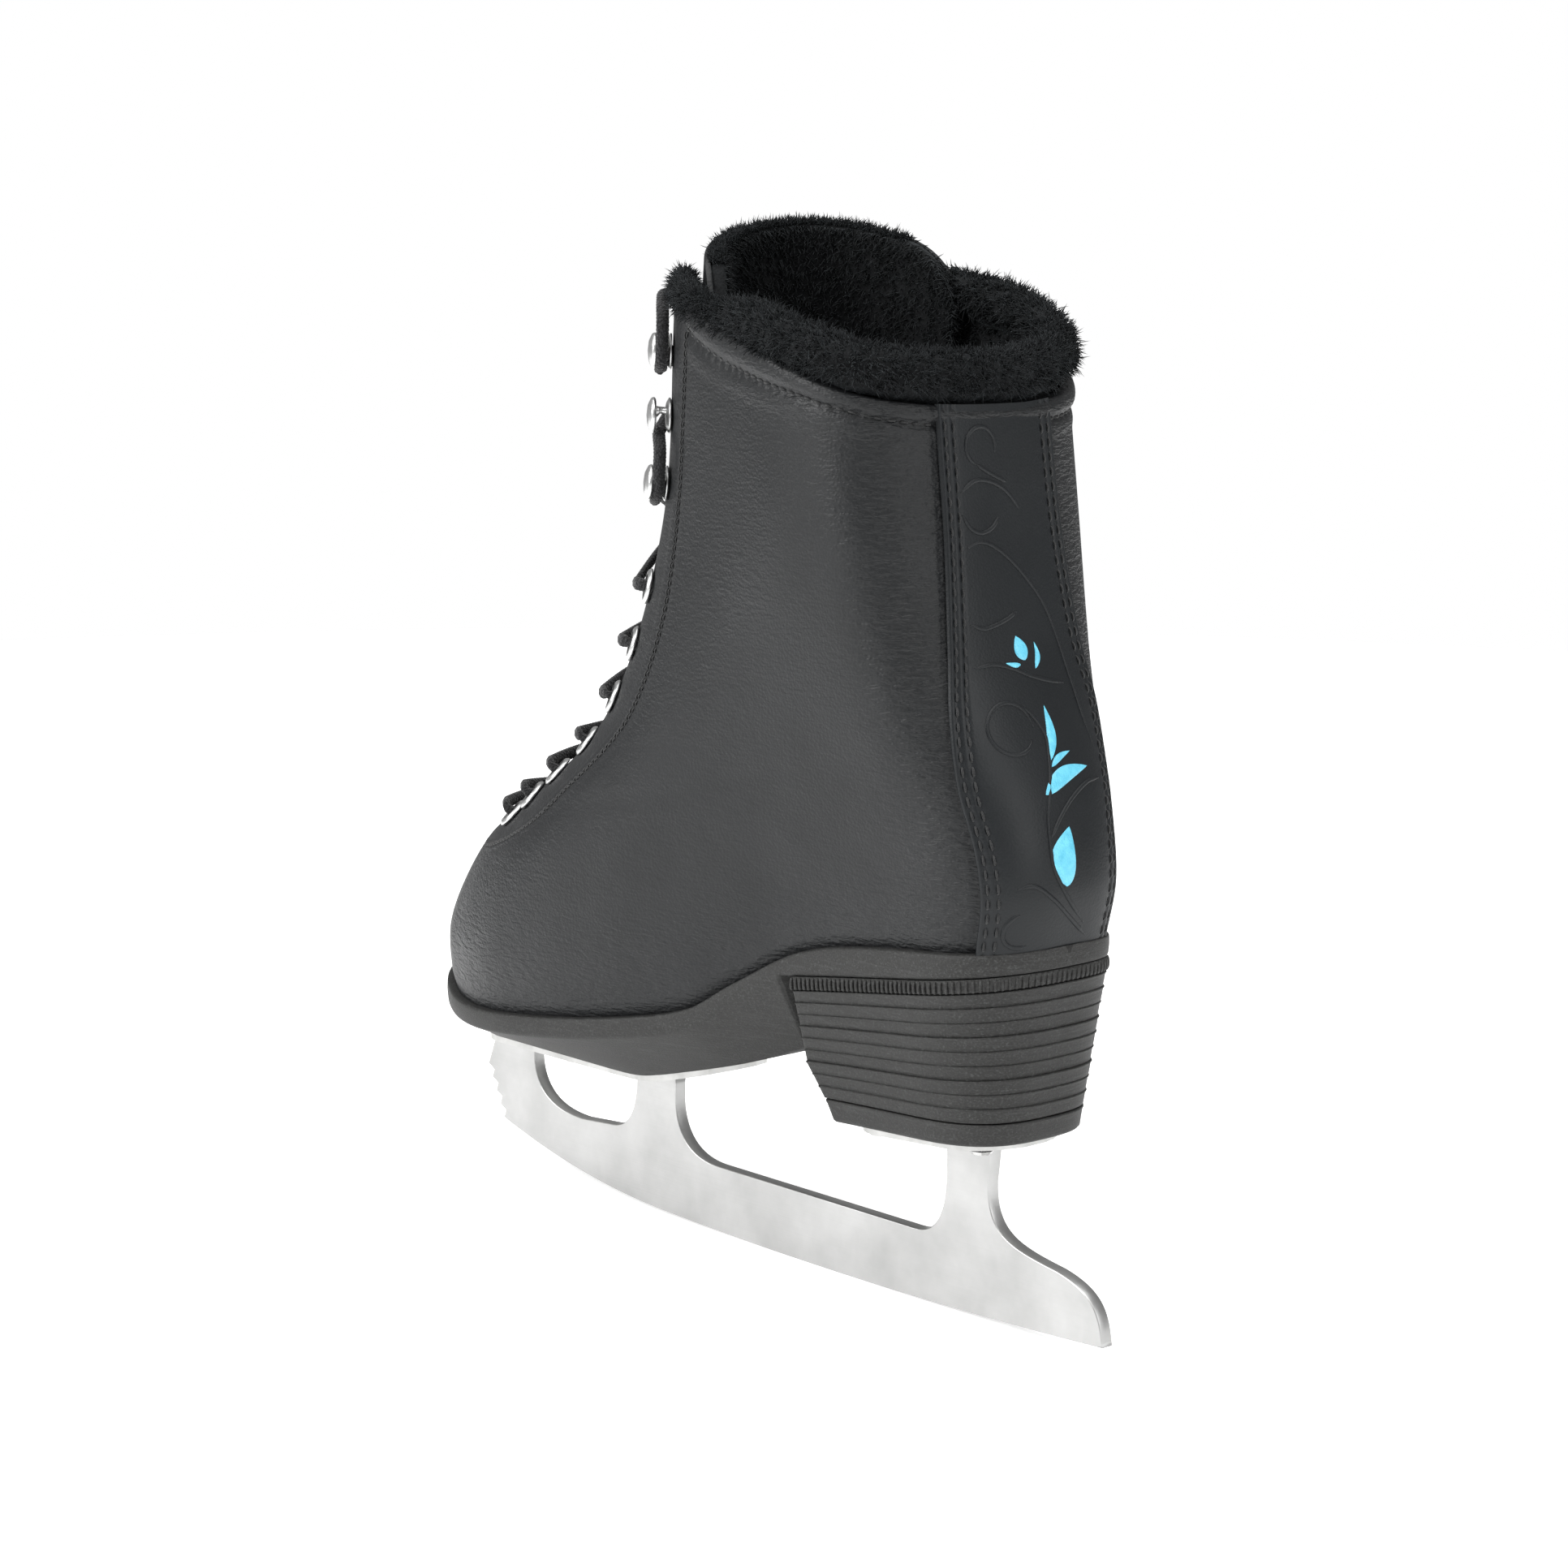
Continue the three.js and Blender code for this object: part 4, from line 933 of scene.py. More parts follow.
def leaves():
    build = Builder()
    for foot, tip, half, bow in LEAVES:
        middle, across, width = leaf_outline(foot, tip, half, bow)
        share = np.linspace(-1, 1, 13)
        grid = middle[:, None] + across[None, None] * (width[:, None] * share[None])[..., None]
        t, d = strip_station(grid[..., 0]), grid[..., 1]
        crown = np.sqrt(np.clip(1 - share**2, 0, 1))[None] * np.clip(width / half, 0, 1)[:, None]
        top = raised(t, d, strip_height(t, d) + 0.05 + 0.5 * crown)
        low = raised(t, d, strip_height(t, d) - 0.3)
        n = top.shape[0] * top.shape[1]
        quads = grid_faces(*top.shape[:2])
        build.add(np.concatenate([top.reshape(-1, 3), low.reshape(-1, 3)]),
                  np.concatenate([quads, quads[:, ::-1] + n]))
    build.piece("strip_leaves", PRINT, slot="motif_print")


upper()
seams()
back_strip()
strip_stitches()
scroll_ridges()
leaves()


# ---- plush: collar roll, lining and tongue ----
def tufts(build, roots, outs, lean, length, radius, seed):
    """Fine tapering hairs that stand on the roots and lean over."""
    local = np.random.default_rng(seed)
    n = len(roots)
    long = length * local.uniform(0.65, 1.25, n)[:, None]
    outs = outs + 0.35 * local.normal(size=(n, 3))
    outs /= np.linalg.norm(outs, axis=1, keepdims=True)
    lean = lean + 0.45 * local.normal(size=(n, 3))
    side = np.cross(outs, lean)
    side /= np.maximum(np.linalg.norm(side, axis=1, keepdims=True), 1e-9)
    other = np.cross(outs, side)
    rings = []
    for f, thick in ((0.0, 1.0), (0.45, 0.75), (0.8, 0.42)):
        centre = roots + outs * long * (f - 0.08) + lean * long * 0.55 * f * f
        for k in range(3):
            angle = 2 * np.pi * k / 3
            rings.append(centre + (side * np.cos(angle) + other * np.sin(angle)) * radius * thick)
    rings.append(roots + outs * long * 0.92 + lean * long * 0.55)
    points = np.stack(rings, axis=1)
    quads, tris = [], []
    for ring in range(2):
        for k in range(3):
            a, b = ring * 3 + k, ring * 3 + (k + 1) % 3
            quads.append([a, b, b + 3, a + 3])
    for k in range(3):
        tris.append([6 + k, 6 + (k + 1) % 3, 9])
    tris.append([2, 1, 0])
    base = np.arange(n)[:, None, None] * 10
    build.add(points.reshape(-1, 3), (np.array(quads)[None] + base).reshape(-1, 4),
              (np.array(tris)[None] + base).reshape(-1, 3))


def horizontal(v):
    flat = v * [1, 1, 0]
    return flat / np.linalg.norm(flat, axis=-1, keepdims=True)


COLLAR_UP, COLLAR_IN = 6.9, 5.0
COLLAR_HALF_DEPTH, COLLAR_HALF_HEIGHT = 6.3, 6.3
COLLAR_END_IN, COLLAR_END_HALF_DEPTH, COLLAR_END_HALF_HEIGHT = 2.4, 2.9, 4.5
COLLAR_THIN_FROM, COLLAR_THIN_TO = 58, 42
PILE = 2.6


def collar_section(d, angle, grow=0.0):
    """Point and outward direction of the plush roll at distance d along the topline."""
    end = float(to_throat(1.0, -1.4))
    thin = np.clip((COLLAR_THIN_FROM - (end - np.abs(d))) / (COLLAR_THIN_FROM - COLLAR_THIN_TO), 0, 1)
    mix = lambda a, b: a + (b - a) * thin
    flat = horizontal(normal(1.0, d))
    half_height = mix(COLLAR_HALF_HEIGHT, COLLAR_END_HALF_HEIGHT)
    centre = surface(1.0, d) - flat * mix(COLLAR_IN, COLLAR_END_IN)[..., None]
    rise = COLLAR_UP - COLLAR_HALF_HEIGHT + half_height + right_lift(d)
    centre = centre + np.array([0, 0, 1.0]) * rise[..., None]
    round_end = np.sqrt(np.clip(1 - (1 - np.clip((end - np.abs(d)) / 4, 0, 1)) ** 2, 0.02, 1))
    depth = (mix(COLLAR_HALF_DEPTH, COLLAR_END_HALF_DEPTH) * round_end + grow)[..., None]
    height = (half_height * round_end + grow)[..., None]
    across, rise = np.cos(angle)[..., None], np.sin(angle)[..., None]
    up = np.array([0, 0, 1.0])
    point = centre + flat * across * depth + up * rise * height
    out = flat * across / depth + up * rise / height
    return point, out / np.linalg.norm(out, axis=-1, keepdims=True)


def collar():
    end = float(to_throat(1.0, -1.4))
    d = np.linspace(-end, end, 360)[:, None]
    angle = np.linspace(0, 2 * np.pi, 33)[:-1][None]
    d, angle = np.broadcast_arrays(d, angle)
    point, out = collar_section(d, angle)
    lumps = 0.35 * line_noise(d * 0.55 + 3 * np.sin(angle), 21, 1.0)
    lumps = lumps + 0.3 * line_noise(angle * 4 + d * 0.2, 22, 1.0)
    point = point + out * lumps[..., None]
    build = Builder()
    build.capped(point)
    base = build.piece("collar_plush", PLUSH, slot="plush", nodes=["collar_roll"])
    weld(base)
    count = 15500
    local = np.random.default_rng(31)
    spots = local.uniform(-end + 1, end - 1, count)
    angle = local.uniform(np.radians(-35), np.radians(215), count)
    root, out = collar_section(spots, angle)
    along = surface(1.0, spots + 1) - surface(1.0, spots - 1)
    along /= np.linalg.norm(along, axis=1, keepdims=True)
    lean = 0.5 * along * np.sign(line_noise(spots * 0.16, 41, 1.0))[:, None] + np.array([0, 0, -0.35])
    hair = Builder()
    tufts(hair, root, out, lean, PILE, 0.2, 32)
    hair.piece("collar_pile", PLUSH, slot="plush")


LINING_OUTER, LINING_INNER = 4.4, 8.0
LINING_STOP = 46


def lining_reach(t):
    return half_length(t) - LINING_STOP


def lifted(t, d):
    return t + (right_lift(d) + 2.0) / MM_PER_STATION * step(t, 0.8, 1.0)


def lining():
    stations = np.linspace(0.085, 1.0, 90)
    share = np.linspace(-1, 1, 220)
    outer, inner = [], []
    for t in stations:
        d = share * lining_reach(t)
        wobble = 0.25 * line_noise(d * 0.5 + 30 * t, 51, 1.0)
        tt = lifted(t, d)
        outer.append(raised(tt, d, np.full_like(d, -LINING_OUTER)))
        inner.append(raised(tt, d, -LINING_INNER + wobble))
    body = add_mesh("lining_plush", np.array(outer + inner), slab_faces(len(stations), len(share)), PLUSH,
                    slot="plush", nodes=["lining"])
    local = np.random.default_rng(52)
    count = 9000
    t = 1 - 0.32 * local.uniform(0, 1, count) ** 1.3
    d = local.uniform(-1, 1, count) * lining_reach(t)
    root = raised(lifted(t, d), d, np.full(count, -LINING_INNER + 0.1))
    hair = Builder()
    tufts(hair, root, -normal(t, d), np.tile([0, 0, -0.6], (count, 1)), PILE, 0.2, 53)
    hair.piece("lining_pile", PLUSH, slot="plush")


# The tongue: its reach to the left and right of the front ridge, and the station of its top edge there.
TONGUE_FROM = 0.31
TONGUE_AT = [0.31, 0.7, 0.88, 0.96, 1.12]
TONGUE_LEFT = [27, 30, 39, 44, 45]
TONGUE_RIGHT = [27, 30, 52, 78, 84]
TONGUE_TOP_AT = [-46, -20, 0, 30, 55, 72, 84]
TONGUE_TOP = [1.046, 1.056, 1.064, 1.082, 1.098, 1.108, 1.104]


def tongue_place(along, across):
    """Station and distance for a share up the tongue (0 to 1) and across it (-1 to 1)."""
    t = TONGUE_FROM + along * 0.76
    for _ in range(3):
        left, right = (curve_through(TONGUE_AT, reach, t) for reach in (TONGUE_LEFT, TONGUE_RIGHT))
        reach = np.where(across < 0, left, right)
        round_top = np.sqrt(np.clip(1 - np.clip((along - 0.93) / 0.07, 0, 1) ** 2, 0.0, 1))
        from_ridge = across * reach * (0.72 + 0.28 * round_top)
        t = TONGUE_FROM + along * (curve_through(TONGUE_TOP_AT, TONGUE_TOP, from_ridge) - TONGUE_FROM)
    return t, half_length(t) + from_ridge


def tongue_shape(name, outer, inner, look, edge, nodes, slot):
    """A layer of the tongue with a rounded rim, between two depths under the boot's surface."""
    along = 1 - (1 - np.linspace(0, 1, 130)) ** 1.25
    share = np.sin(np.linspace(-np.pi / 2, np.pi / 2, 121))
    along, share = np.meshgrid(along, share, indexing="ij")
    t, d = tongue_place(along, share)
    from_side = (1 - np.abs(share)) * 60
    from_top = (1 - along) * 170
    full = np.sqrt(np.clip(1 - (1 - np.clip(np.minimum(from_side, from_top) / edge, 0, 1)) ** 2, 0.0, 1))
    middle, half_thick = -(outer + inner) / 2, (inner - outer) / 2
    soft = 0.18 if look is PLUSH else 0.04
    soft = soft * line_noise(d * 0.3 + 40 * t, 61, 1.0)
    front = raised(t, d, middle + half_thick * full)
    rear = raised(t, d, middle - (half_thick + soft) * full)
    obj = add_mesh(name, np.stack([front, rear]), slab_faces(*t.shape), look, body="tongue", slot=slot,
                   nodes=nodes, floats={"crease": np.full(2 * t.size, 0.1)})
    weld(obj)
    return obj


def tongue():
    tongue_shape("tongue_face", 7.3, 8.9, LEATHER, 0.8, ["tongue_leather"], "boot_leather")
    pad = tongue_shape("tongue_plush", 9.0, 12.9, PLUSH, 2.2, ["tongue_padding"], "plush")
    local = np.random.default_rng(71)
    hair = Builder()
    count = 14500
    along = 1 - 0.42 * local.uniform(0, 1, count) ** 1.2
    share = local.uniform(-1, 1, count)
    t, d = tongue_place(along * 0.995, share)
    root = raised(t, d, np.full(count, -12.6))
    tufts(hair, root, -normal(t, d), np.tile([0, 0, -0.7], (count, 1)), PILE, 0.2, 72)
    # the top rim and the right edge: hairs that stand up and out
    count = 5200
    share = local.uniform(-1, 1, count)
    on_top = local.uniform(size=count) < 0.75
    along = np.where(on_top, 0.998, 1 - 0.4 * local.uniform(0, 1, count))
    share = np.where(on_top, share, 0.995)
    depth = -local.uniform(9.0, 12.8, count)
    t, d = tongue_place(along, share)
    root = raised(t, d, depth)
    sideways = raised(t, d + 1, depth) - raised(t, d - 1, depth)
    rise = raised(t + 0.01, d, depth) - raised(t - 0.01, d, depth)
    rise /= np.linalg.norm(rise, axis=1, keepdims=True)
    sideways /= np.linalg.norm(sideways, axis=1, keepdims=True)
    out = np.where(on_top[:, None], rise + 0.5 * sideways * share[:, None], sideways)
    out /= np.linalg.norm(out, axis=1, keepdims=True)
    tufts(hair, root, out, np.tile([0.2, 0, -0.4], (count, 1)), PILE, 0.2, 73)
    hair.piece("tongue_pile", PLUSH, body="tongue", slot="plush")


# ---- eyelets, hooks and the lace ----
def spot_frame(t, side, inset=EYELET_INSET):
    d = side * to_throat(t, inset)
    out = normal(t, d)
    rise = surface(t + 0.01, d) - surface(t - 0.01, d)
    rise = rise - out * (rise @ out)
    return surface(t, d), out, rise / np.linalg.norm(rise)


def rounded(points, radius, steps=4):
    """Rounds the corners of a profile of [radius, height] rows."""
    points = np.asarray(points, float)
    done = [points[0]]
    for a, b, c in zip(points[:-2], points[1:-1], points[2:]):
        r = min(radius, np.linalg.norm(b - a) / 2.2, np.linalg.norm(c - b) / 2.2)
        p, q = b + (a - b) / np.linalg.norm(a - b) * r, b + (c - b) / np.linalg.norm(c - b) * r
        for f in np.linspace(0, 1, steps):
            done.append((1 - f) ** 2 * p + 2 * f * (1 - f) * b + f * f * q)
    done.append(points[-1])
    return np.array(done)


def eyelets():
    profile = rounded([[3.0, -4.3], [3.2, -4.3], [3.2, 0.3], [4.9, 0.35], [5.0, 0.9], [4.1, 1.75],
                       [3.1, 1.6], [2.8, 0.6], [2.8, -4.3]], 0.5)
    for name, side in (("left", 1), ("right", -1)):
        build = Builder()
        for t in EYELET_STATIONS:
            base, out, rise = spot_frame(t, side)
            build.turned(base, out, profile, 40, rise)
        build.piece(f"eyelets_{name}", NICKEL, slot="nickel",
                    nodes=[f"eyelet_{name}_{i}" for i in range(1, 8)])


def hooks():
    """Each hook: a washer on the leather, a neck that bends forward, and a domed head."""
    washer = rounded([[0, -4], [1.5, -4], [1.5, 0.25], [4.8, 0.3], [4.9, 0.75], [3.4, 1.55], [0, 1.8]], 0.5)
    head = rounded([[0, 4.25], [4.4, 4.3], [5.0, 4.75], [4.7, 5.6], [2.8, 6.5], [0, 6.8]], 0.5)
    for name, side in (("left", 1), ("right", -1)):
        build = Builder()
        for t in HOOK_STATIONS:
            base, out, rise = spot_frame(t, side)
            build.turned(base, out, washer, 36)
            build.turned(base, out, head, 36)
            heights = np.array([0.9, 2.0, 3.2, 4.7])
            path = base + out * heights[:, None] + rise * np.array([1.1, 1.3, 1.4, 1.0])[:, None]
            build.sweep(path, np.array([2.3, 1.7, 1.7, 2.6]), np.array([1.7, 1.0, 1.0, 1.8]), 14,
                        outs=np.tile(rise, (4, 1)))
        build.piece(f"hooks_{name}", NICKEL, slot="nickel",
                    nodes=[f"hook_{name}_{i}" for i in range(1, 4)])


LACE_OVER, LACE_UNDER = 3.9, -5.8
EYELET_PASS = [(-5, LACE_UNDER), (-2.2, LACE_UNDER), (-0.4, -4.6), (0, -2.6), (0, 1.6), (-0.8, 3.4),
               (-3.2, LACE_OVER), (-5.6, LACE_OVER)]
TUCKED_SIDE, TUCKED_HEIGHT = 3.4, -5.4


def lace_point(t, from_edge, side, height):
    return raised(t, side * to_throat(t, from_edge), height)


def ridge_point(t, side, height):
    return raised(t, half_length(t) - side, height)


def hook_loop(t, side, low=3.2):
    steps = [(-0.012, -6.5), (-0.016, 0), (-0.006, 3.6), (0.03, 3.6), (0.044, -1), (0.046, -6.5)]
    return [lace_point(t + rise, EYELET_INSET + inset, side, low) for rise, inset in steps]


def lace_route(side):
    """Half of the lace, from the lowest bar over the crossings and hooks to its tucked end."""
    route, now = [], side
    for i, t in enumerate(EYELET_STATIONS):
        route += [lace_point(t, EYELET_INSET + inset, now, height) for inset, height in EYELET_PASS]
        after = EYELET_STATIONS[i + 1] if i + 1 < len(EYELET_STATIONS) else HOOK_STATIONS[0]
        route.append(ridge_point((t + after) / 2, now * 1.5, 1.6 if side > 0 else -1.7))
        now = -now
    low, _, high = HOOK_STATIONS
    route += hook_loop(low, now)
    route.append(ridge_point((low + high) / 2 + 0.03, now * 1.5, 3.0 if side > 0 else -0.4))
    route += hook_loop(high, -now)
    route.append(ridge_point(high + 0.03, -now * 3.0, 0.6))
    route.append(ridge_point(high, -now * TUCKED_SIDE, -3.4))
    route += [ridge_point(t, -now * TUCKED_SIDE, TUCKED_HEIGHT) for t in (0.9, 0.82, 0.74, 0.66, 0.58)]
    return route


def through(points, per_span=10):
    """Centripetal Catmull-Rom curve through the points."""
    p = np.asarray(points, float)
    p = np.concatenate([[2 * p[0] - p[1]], p, [2 * p[-1] - p[-2]]])
    done = []
    for a, b, c, d in zip(p[:-3], p[1:-2], p[2:-1], p[3:]):
        gaps = [max(np.linalg.norm(v - u) ** 0.5, 1e-3) for u, v in ((a, b), (b, c), (c, d))]
        k = np.concatenate([[0], np.cumsum(gaps)])
        s = np.linspace(k[1], k[2], per_span, endpoint=False)[:, None]
        ab = (k[1] - s) / (k[1] - k[0]) * a + (s - k[0]) / (k[1] - k[0]) * b
        bc = (k[2] - s) / (k[2] - k[1]) * b + (s - k[1]) / (k[2] - k[1]) * c
        cd = (k[3] - s) / (k[3] - k[2]) * c + (s - k[2]) / (k[3] - k[2]) * d
        abc = (k[2] - s) / (k[2] - k[0]) * ab + (s - k[0]) / (k[2] - k[0]) * bc
        bcd = (k[3] - s) / (k[3] - k[1]) * bc + (s - k[1]) / (k[3] - k[1]) * cd
        done.append((k[2] - s) / (k[2] - k[1]) * abc + (s - k[1]) / (k[2] - k[1]) * bcd)
    return np.concatenate(done + [p[-2:-1]])


LACE_HALF_WIDE, LACE_HALF_THICK = 1.75, 1.05


def lace():
    route = lace_route(1)[::-1] + [ridge_point(EYELET_STATIONS[0], 0, LACE_UNDER)] + lace_route(-1)
    path = through(route, 14)
    run = np.concatenate([[0], np.cumsum(np.linalg.norm(np.diff(path, axis=0), axis=1))])
    s = np.arange(0, run[-1], 0.42)
    path = np.stack([np.interp(s, run, path[:, c]) for c in range(3)], axis=1)
    # the flat of the lace lies on the boot: out from the boot's middle line
    middle = curve_through([60, 260], [85, 190], path[:, 2])
    centre = np.stack([middle, np.zeros(len(path)), path[:, 2]], axis=1)
    outs = path - centre
    _, out, side = frames_along(path, outs)
    sides = 16
    angle = np.linspace(0, 2 * np.pi, sides, endpoint=False)
    weave = np.sin(angle[None] * 4 + s[:, None] * 2.9) * np.sin(angle[None] * 4 - s[:, None] * 2.9)
    swell = 1 + 0.085 * weave
    ring = path[:, None] + side[:, None] * (np.cos(angle)[None] * LACE_HALF_WIDE * swell)[..., None]
    ring = ring + out[:, None] * (np.sin(angle)[None] * LACE_HALF_THICK * swell)[..., None]
    build = Builder()
    build.capped(ring)
    weld(build.piece("lace_cord", LACE, slot="lace_braid", nodes=["lace"]))


# ---- sole and heel ----
SOLE_LIP = 1.6
SHANK_FROM = 97
SOLE_PLATE_Z, PLATE_THICK, GAP = 43.4, 1.8, 0.3
SHANK_AT = [97, 118, 138, 152, 165, 178, 232, 262]
SHANK_BY = [67, 59, 53, 49.3, 46.2, 45.5, 45.5, 54]
HEEL_PLATE_UNDER, HEEL_PLATE_TO, HEEL_RISE = 47.8, 82, 0.063


def feather_point(d, offset):
    flat = horizontal(normal(0.02, d))
    return surface(0.0, d) + flat * np.asarray(offset, float)[..., None]


def heel_seat(forward):
    return 100 - 0.153 * (forward - 20)


def sole_underside(forward):
    shank = curve_through(SHANK_AT, SHANK_BY, forward)
    shank = np.maximum(shank, SOLE_PLATE_Z + PLATE_THICK + GAP)
    return np.where(forward < SHANK_FROM, heel_seat(forward), shank)


def feather_distance(forward, offset):
    d = np.linspace(0, float(half_length(0.0)), 800)
    reached = np.maximum.accumulate(feather_point(d, np.full_like(d, offset))[:, 0])
    return float(np.interp(forward, reached, d))


def sole_section(d):
    rim = feather_point(d, SOLE_LIP)
    on_heel = rim[0] < SHANK_FROM
    under = min(float(sole_underside(rim[0])), rim[2] - 3)
    crease = under if on_heel else max(rim[2] - 6, under + 1)
    foot = rim[1] - 0.6 if on_heel else min(18, rim[1] * 0.6)
    corners = [[max(rim[1] - 3, rim[1] * 0.8), rim[2]], [rim[1], rim[2] - 0.2],
               [rim[1] + 0.15, (rim[2] + crease) / 2], [rim[1] - 0.2, crease + (0.6 if on_heel else 0.1)],
               [foot, under]]
    half = rounded(corners, 0.9, 5)
    full = np.concatenate([half, half[::-1] * [-1, 1]])
    return np.stack([np.full(len(full), rim[0]), full[:, 0], full[:, 1]], axis=1)


def outsole():
    step_at = feather_distance(SHANK_FROM, SOLE_LIP)
    end = float(half_length(0.0)) - 1.2
    places = np.concatenate([np.linspace(1.6, step_at - 0.3, 90), np.linspace(step_at + 0.3, end, 200)])
    rings = np.array([sole_section(d) for d in places])
    build = Builder()
    build.capped(rings)
    weld(build.piece("sole_leather", SOLE, slot="sole_leather", nodes=["outsole"]))


HEEL_BREAST_TOP, HEEL_BREAST_BOTTOM, HEEL_BOTTOM = 93, 82, 50
HEEL_RAND, HEEL_LIFT, HEEL_TAPER, HEEL_LEAN, HEEL_SQUEEZE = 3.8, 6, 4.2, 2, 0.08
HEEL_COLS = 300
# The breast is nearly upright down to its turn, then cut back.
HEEL_BREAST_AT, HEEL_BREAST_BY = (0, 0.62, 1), (HEEL_BREAST_TOP, 90.5, HEEL_BREAST_BOTTOM)
LIFTS = 9
LIFT_EDGE = ((0.0, -0.3), (0.03, 0.12), (0.1, 0.3), (0.17, 0.12), (0.22, 0.0), (0.6, 0.0), (0.97, -0.05),
             (1.0, -0.3))
TREAD_EDGE = ((0, -0.35), (0.03, 0.1), (0.1, 0.25), (0.16, 0.05), (0.5, 0.0), (0.9, 0.0), (1, -0.5))
RAND_SINK, RIB_SINK = 0.95, 0.55  # how far the rand and its ribs lie behind the sole's edge


def heel_ring(level, height, extra=0.0):
    """A slice of the heel at a level (0 top, 1 bottom), with its breast closed by a straight line."""
    breast = float(np.interp(level, HEEL_BREAST_AT, HEEL_BREAST_BY))
    offset = SOLE_LIP - level * HEEL_TAPER + extra
    reach = feather_distance(breast - level * HEEL_LEAN, offset)
    d = np.linspace(-reach, reach, HEEL_COLS)
    near_end = np.clip((reach - np.abs(d)) / 1.2, 0, 1)
    offset = offset - 0.8 * (1 - near_end) ** 2
    p = feather_point(d, offset)
    p[:, 0] += level * HEEL_LEAN
    p[:, 1] *= 1 - level * HEEL_SQUEEZE
    p[:, 2] = height(p[:, 0])
    return p


def heel_block(name, levels, look, slot, nodes):
    """A stack of slices, each (level, height function, extra offset), closed at both ends."""
    rings = np.array([heel_ring(*row) for row in levels])
    build = Builder()
    build.add(rings, grid_faces(rings.shape[0], rings.shape[1], around=True))
    for row in (0, -1):
        ring = rings[row]
        half = len(ring) // 2
        left, right = ring[:half], ring[::-1][:half]
        build.add(np.concatenate([left, right]), grid_faces(2, half))
    obj = build.piece(name, look, slot=slot, nodes=nodes)
    weld(obj, 2e-6)


def heel():
    def below(drop):
        return lambda forward: heel_seat(forward) - drop

    rand = []
    for f in (0, 0.1, 0.25, 0.5, 0.75, 0.9, 1):
        bulge = 0.25 * math.sin(math.pi * f) ** 0.5
        rand.append((-0.1 + 0.05 * f, below(GAP + (HEEL_RAND - GAP) * f), bulge - RAND_SINK))
    heel_block("heel_rand_strip", rand, SOLE, "sole_leather", ["heel_rand"])

    def foot(rise):
        return lambda forward: HEEL_BOTTOM + HEEL_RISE * (HEEL_BREAST_BOTTOM - forward) + rise

    lift_top = foot(HEEL_LIFT + GAP)
    top = below(HEEL_RAND + GAP)

    def between(g):
        return lambda forward: top(forward) + (lift_top(forward) - top(forward)) * g

    rows = []
    for i in range(LIFTS):
        for f, dent in LIFT_EDGE:
            g = (i + f) / LIFTS
            rows.append((0.1 + 0.76 * g, between(g), dent + 0.1 * math.sin(i * 2.3)))
    heel_block("heel_lifts", rows, SOLE, "sole_leather", ["heel_stack"])

    rows = []
    for f, dent in TREAD_EDGE:
        rows.append((0.88 + 0.12 * f, foot(HEEL_LIFT * (1 - f)), dent))
    heel_block("heel_tread", rows, SOLE, "lift_rubber", ["heel_top_lift"])
    heel_ribs(below)


RIB_PITCH = 1.75


def heel_ribs(below):
    """The knurled band under the heel seat: short upright ribs."""
    build = Builder()
    reach = feather_distance(HEEL_BREAST_TOP, SOLE_LIP + 0.1)
    for d in np.arange(-reach + 1.2, reach - 1.0, RIB_PITCH):
        f = np.linspace(0, 1, 6)
        p = feather_point(np.full(6, d), SOLE_LIP - RIB_SINK + 0.35 * np.sin(np.pi * f) ** 0.5)
        p[:, 1] *= 1 + 0.1 * HEEL_SQUEEZE
        seat = below(GAP)(p[:, 0])
        p[:, 2] = seat - 0.25 - (HEEL_RAND - GAP - 0.4) * f
        build.sweep(p, 0.5, 0.42, 6, outs=horizontal(normal(0.02, np.full(6, d))))
    build.piece("heel_ribs", SOLE, slot="sole_leather")


# ---- blade ----
BLADE_HALF = 2.0
ROCKER_RADIUS, ROCKER_LOW = 1806, 107
FRONT_ROCKER_RADIUS, FRONT_ROCKER_START = 333, 175
RUNNER_TOP = 19.6
PICK_TEETH, PICK_FORWARD, PICK_UP = 5, 250, 14.2
PICK_LEAN, PICK_PITCH, PICK_NOTCH, PICK_NOTCH_UP = 1.9, 3.9, 0.9, 2.4


def runner_edge(forward):
    past = np.maximum(forward - FRONT_ROCKER_START, 0)
    return (forward - ROCKER_LOW) ** 2 / (2 * ROCKER_RADIUS) + past**2 / (2 * FRONT_ROCKER_RADIUS)


def bezier(a, b, c, d, steps=22):
    f = np.linspace(0, 1, steps)[1:, None]
    a, b, c, d = (np.array(p, float) for p in (a, b, c, d))
    return (1 - f) ** 3 * a + 3 * (1 - f) ** 2 * f * b + 3 * (1 - f) * f * f * c + f**3 * d


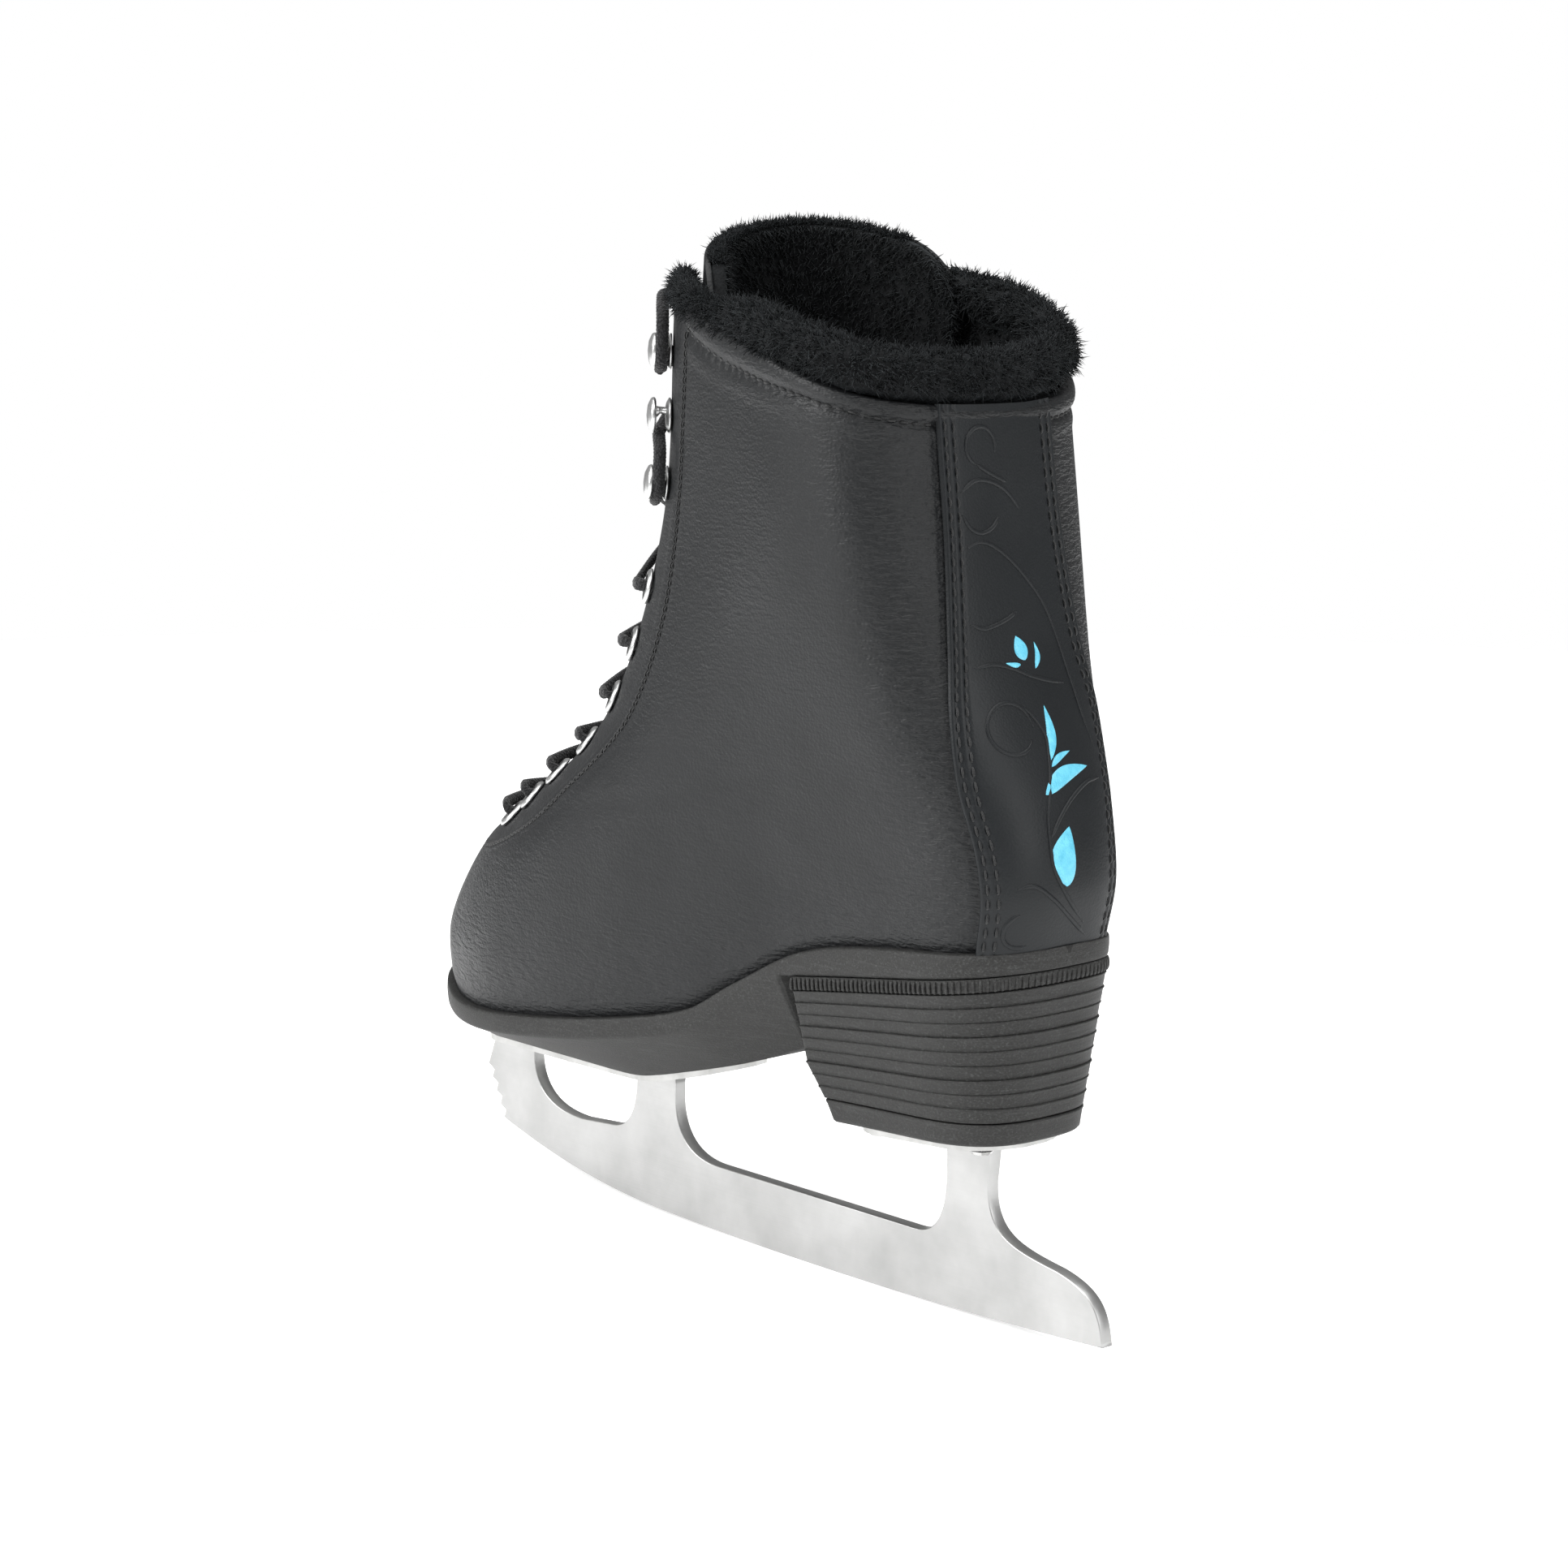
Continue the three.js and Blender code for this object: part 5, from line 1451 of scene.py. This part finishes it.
def runner_outline():
    top = SOLE_PLATE_Z - GAP

    def heel_top(forward):
        return HEEL_PLATE_UNDER + HEEL_RISE * (HEEL_PLATE_TO - forward) - GAP

    parts = [[[0.4, float(runner_edge(0))]]]

    def to(*points):
        start = parts[-1][-1]
        if len(points) == 3:
            parts.append(bezier(start, *points))
        else:
            count = max(2, int(np.linalg.norm(np.subtract(points[0], start)) / 3))
            parts.append(np.linspace(start, points[0], count + 1)[1:])

    to((1.5, 12), (4, 17), (17, 19.8))
    to((34, 22.3), (42.5, 24), (42.2, 38))
    to((40.8, heel_top(40.8)))
    to((58, heel_top(58)))
    to((57.8, 36))
    to((58.2, 25), (62, RUNNER_TOP), (70, RUNNER_TOP))
    to((150, RUNNER_TOP))
    to((162, RUNNER_TOP), (168.8, 25), (169.2, 36))
    to((169, top))
    to((186.2, top))
    to((186.8, 35))
    to((188, 27), (191, 22.8), (199, 22.4))
    to((212, 21.4))
    to((226, 21.4), (234, 26), (234.8, 36))
    to((235, top))
    to((253, top))
    to((253.8, 39))
    for i in range(PICK_TEETH - 1, -1, -1):
        forward, up = PICK_FORWARD + i * PICK_LEAN, PICK_UP + i * PICK_PITCH
        if i < PICK_TEETH - 1:
            to((forward - PICK_NOTCH, up + PICK_NOTCH_UP))
        to((forward, up))
    forward = np.linspace(247, 0.6, 160)
    parts.append(np.stack([forward, runner_edge(forward)], axis=1))
    return np.concatenate([np.asarray(p, float) for p in parts])


def runner():
    outline = runner_outline()
    ahead = np.roll(outline, -1, axis=0) - outline
    ahead /= np.maximum(np.linalg.norm(ahead, axis=1, keepdims=True), 1e-9)
    behind = np.roll(ahead, 1, axis=0)
    direction = ahead + behind
    direction /= np.maximum(np.linalg.norm(direction, axis=1, keepdims=True), 1e-9)
    area = np.sum(outline[:, 0] * np.roll(outline[:, 1], -1) - np.roll(outline[:, 0], -1) * outline[:, 1])
    inward = np.stack([-direction[:, 1], direction[:, 0]], axis=1) * np.sign(area)
    n = len(outline)
    rings = []
    for side, inset in ((-BLADE_HALF, 0.3), (-BLADE_HALF + 0.12, 0.1), (-BLADE_HALF + 0.35, 0.0),
                        (BLADE_HALF - 0.35, 0.0), (BLADE_HALF - 0.12, 0.1), (BLADE_HALF, 0.3)):
        p = outline + inward * inset
        rings.append(np.stack([p[:, 0], np.full(n, side), p[:, 1]], axis=1))
    rings = np.array(rings)
    tris = np.array(tessellate_polygon([[Vector((x, y, 0)) for x, y in rings[0][:, [0, 2]]]]))
    points = rings.reshape(-1, 3)
    faces = [grid_faces(len(rings), n, around=True), tris, tris[:, ::-1] + n * (len(rings) - 1)]
    obj = add_mesh("runner", points, faces, STEEL, slot="blade_steel", nodes=["blade_runner"], smooth=False)
    weld(obj, 1e-7)
    flags = [abs(p.normal.x) < 0.98 for p in obj.data.polygons]
    obj.data.polygons.foreach_set("use_smooth", flags)


def blade_details():
    """Plates, screws, stiffeners and lace tips keep their CAD bodies: only their finish is set here."""
    looks = {
        PLATE: ["front_plate", "heel_plate"],
        SCREWS: [f"front_screw_{i}" for i in range(1, 7)] + [f"heel_screw_{i}" for i in range(1, 5)],
        BOARD: ["insole_board"],
        KNIT: ["footbed"],
        STIFFENER: ["heel_counter", "toe_puff"],
        TIP: ["aglet_left", "aglet_right"],
    }
    for look, names in looks.items():
        for name in names:
            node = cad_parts[name]
            node.data.materials.clear()
            node.data.materials.append(look)


collar()
lining()
tongue()
eyelets()
hooks()
lace()
outsole()
heel()
runner()
blade_details()


# ---- floor and lights ----
FLOOR_RADIUS, FLOOR_GLOW = 1.4, 0.45


def floor_look():
    look = Look("floor", Specular_IOR_Level=0.1, Emission_Strength=FLOOR_GLOW)
    look.shader.inputs["Emission Color"].default_value = (1, 1, 1, 1)
    look.set("Base Color", look.ramp(look.noise(3, 2), [(0.3, 0.90), (0.7, 0.92)]))
    look.set("Roughness", look.ramp(look.noise(5, 2), [(0.3, 0.85), (0.7, 0.9)]))
    return look.material


WORLD_LIGHT = 0.3


def studio():
    mesh = bpy.data.meshes.new("floor")
    turn = np.linspace(0, 2 * np.pi, 96, endpoint=False)
    rim = np.stack([FLOOR_RADIUS * np.cos(turn), FLOOR_RADIUS * np.sin(turn), 0 * turn], axis=1)
    mesh.from_pydata(rim.tolist(), [], [range(len(rim))])
    mesh.materials.append(floor_look())
    floor = bpy.data.objects.new("floor", mesh)
    bpy.context.scene.collection.objects.link(floor)
    world = bpy.data.worlds.new("world")
    bpy.context.scene.world = world
    world.use_nodes = True
    tree = world.node_tree
    tree.nodes["Background"].inputs["Strength"].default_value = WORLD_LIGHT
    seen = tree.nodes.new("ShaderNodeBackground")
    seen.inputs["Color"].default_value = (1, 1, 1, 1)
    tree.nodes["Background"].inputs["Color"].default_value = (1, 1, 1, 1)
    path = tree.nodes.new("ShaderNodeLightPath")
    mix = tree.nodes.new("ShaderNodeMixShader")
    tree.links.new(path.outputs["Is Camera Ray"], mix.inputs["Fac"])
    tree.links.new(tree.nodes["Background"].outputs[0], mix.inputs[1])
    tree.links.new(seen.outputs[0], mix.inputs[2])
    tree.links.new(mix.outputs[0], tree.nodes["World Output"].inputs["Surface"])
    area_light("key", (1.5, -0.75, 1.0), (0, 0, 0.15), (0.9, 1.1), 30)
    area_light("top", (0.3, 0.3, 2.2), (0, 0.05, 0), (2.6, 2.6), 62)
    area_light("back", (-0.3, 1.9, 0.9), (0, 0, 0.15), (0.9, 1.2), 12)


studio()
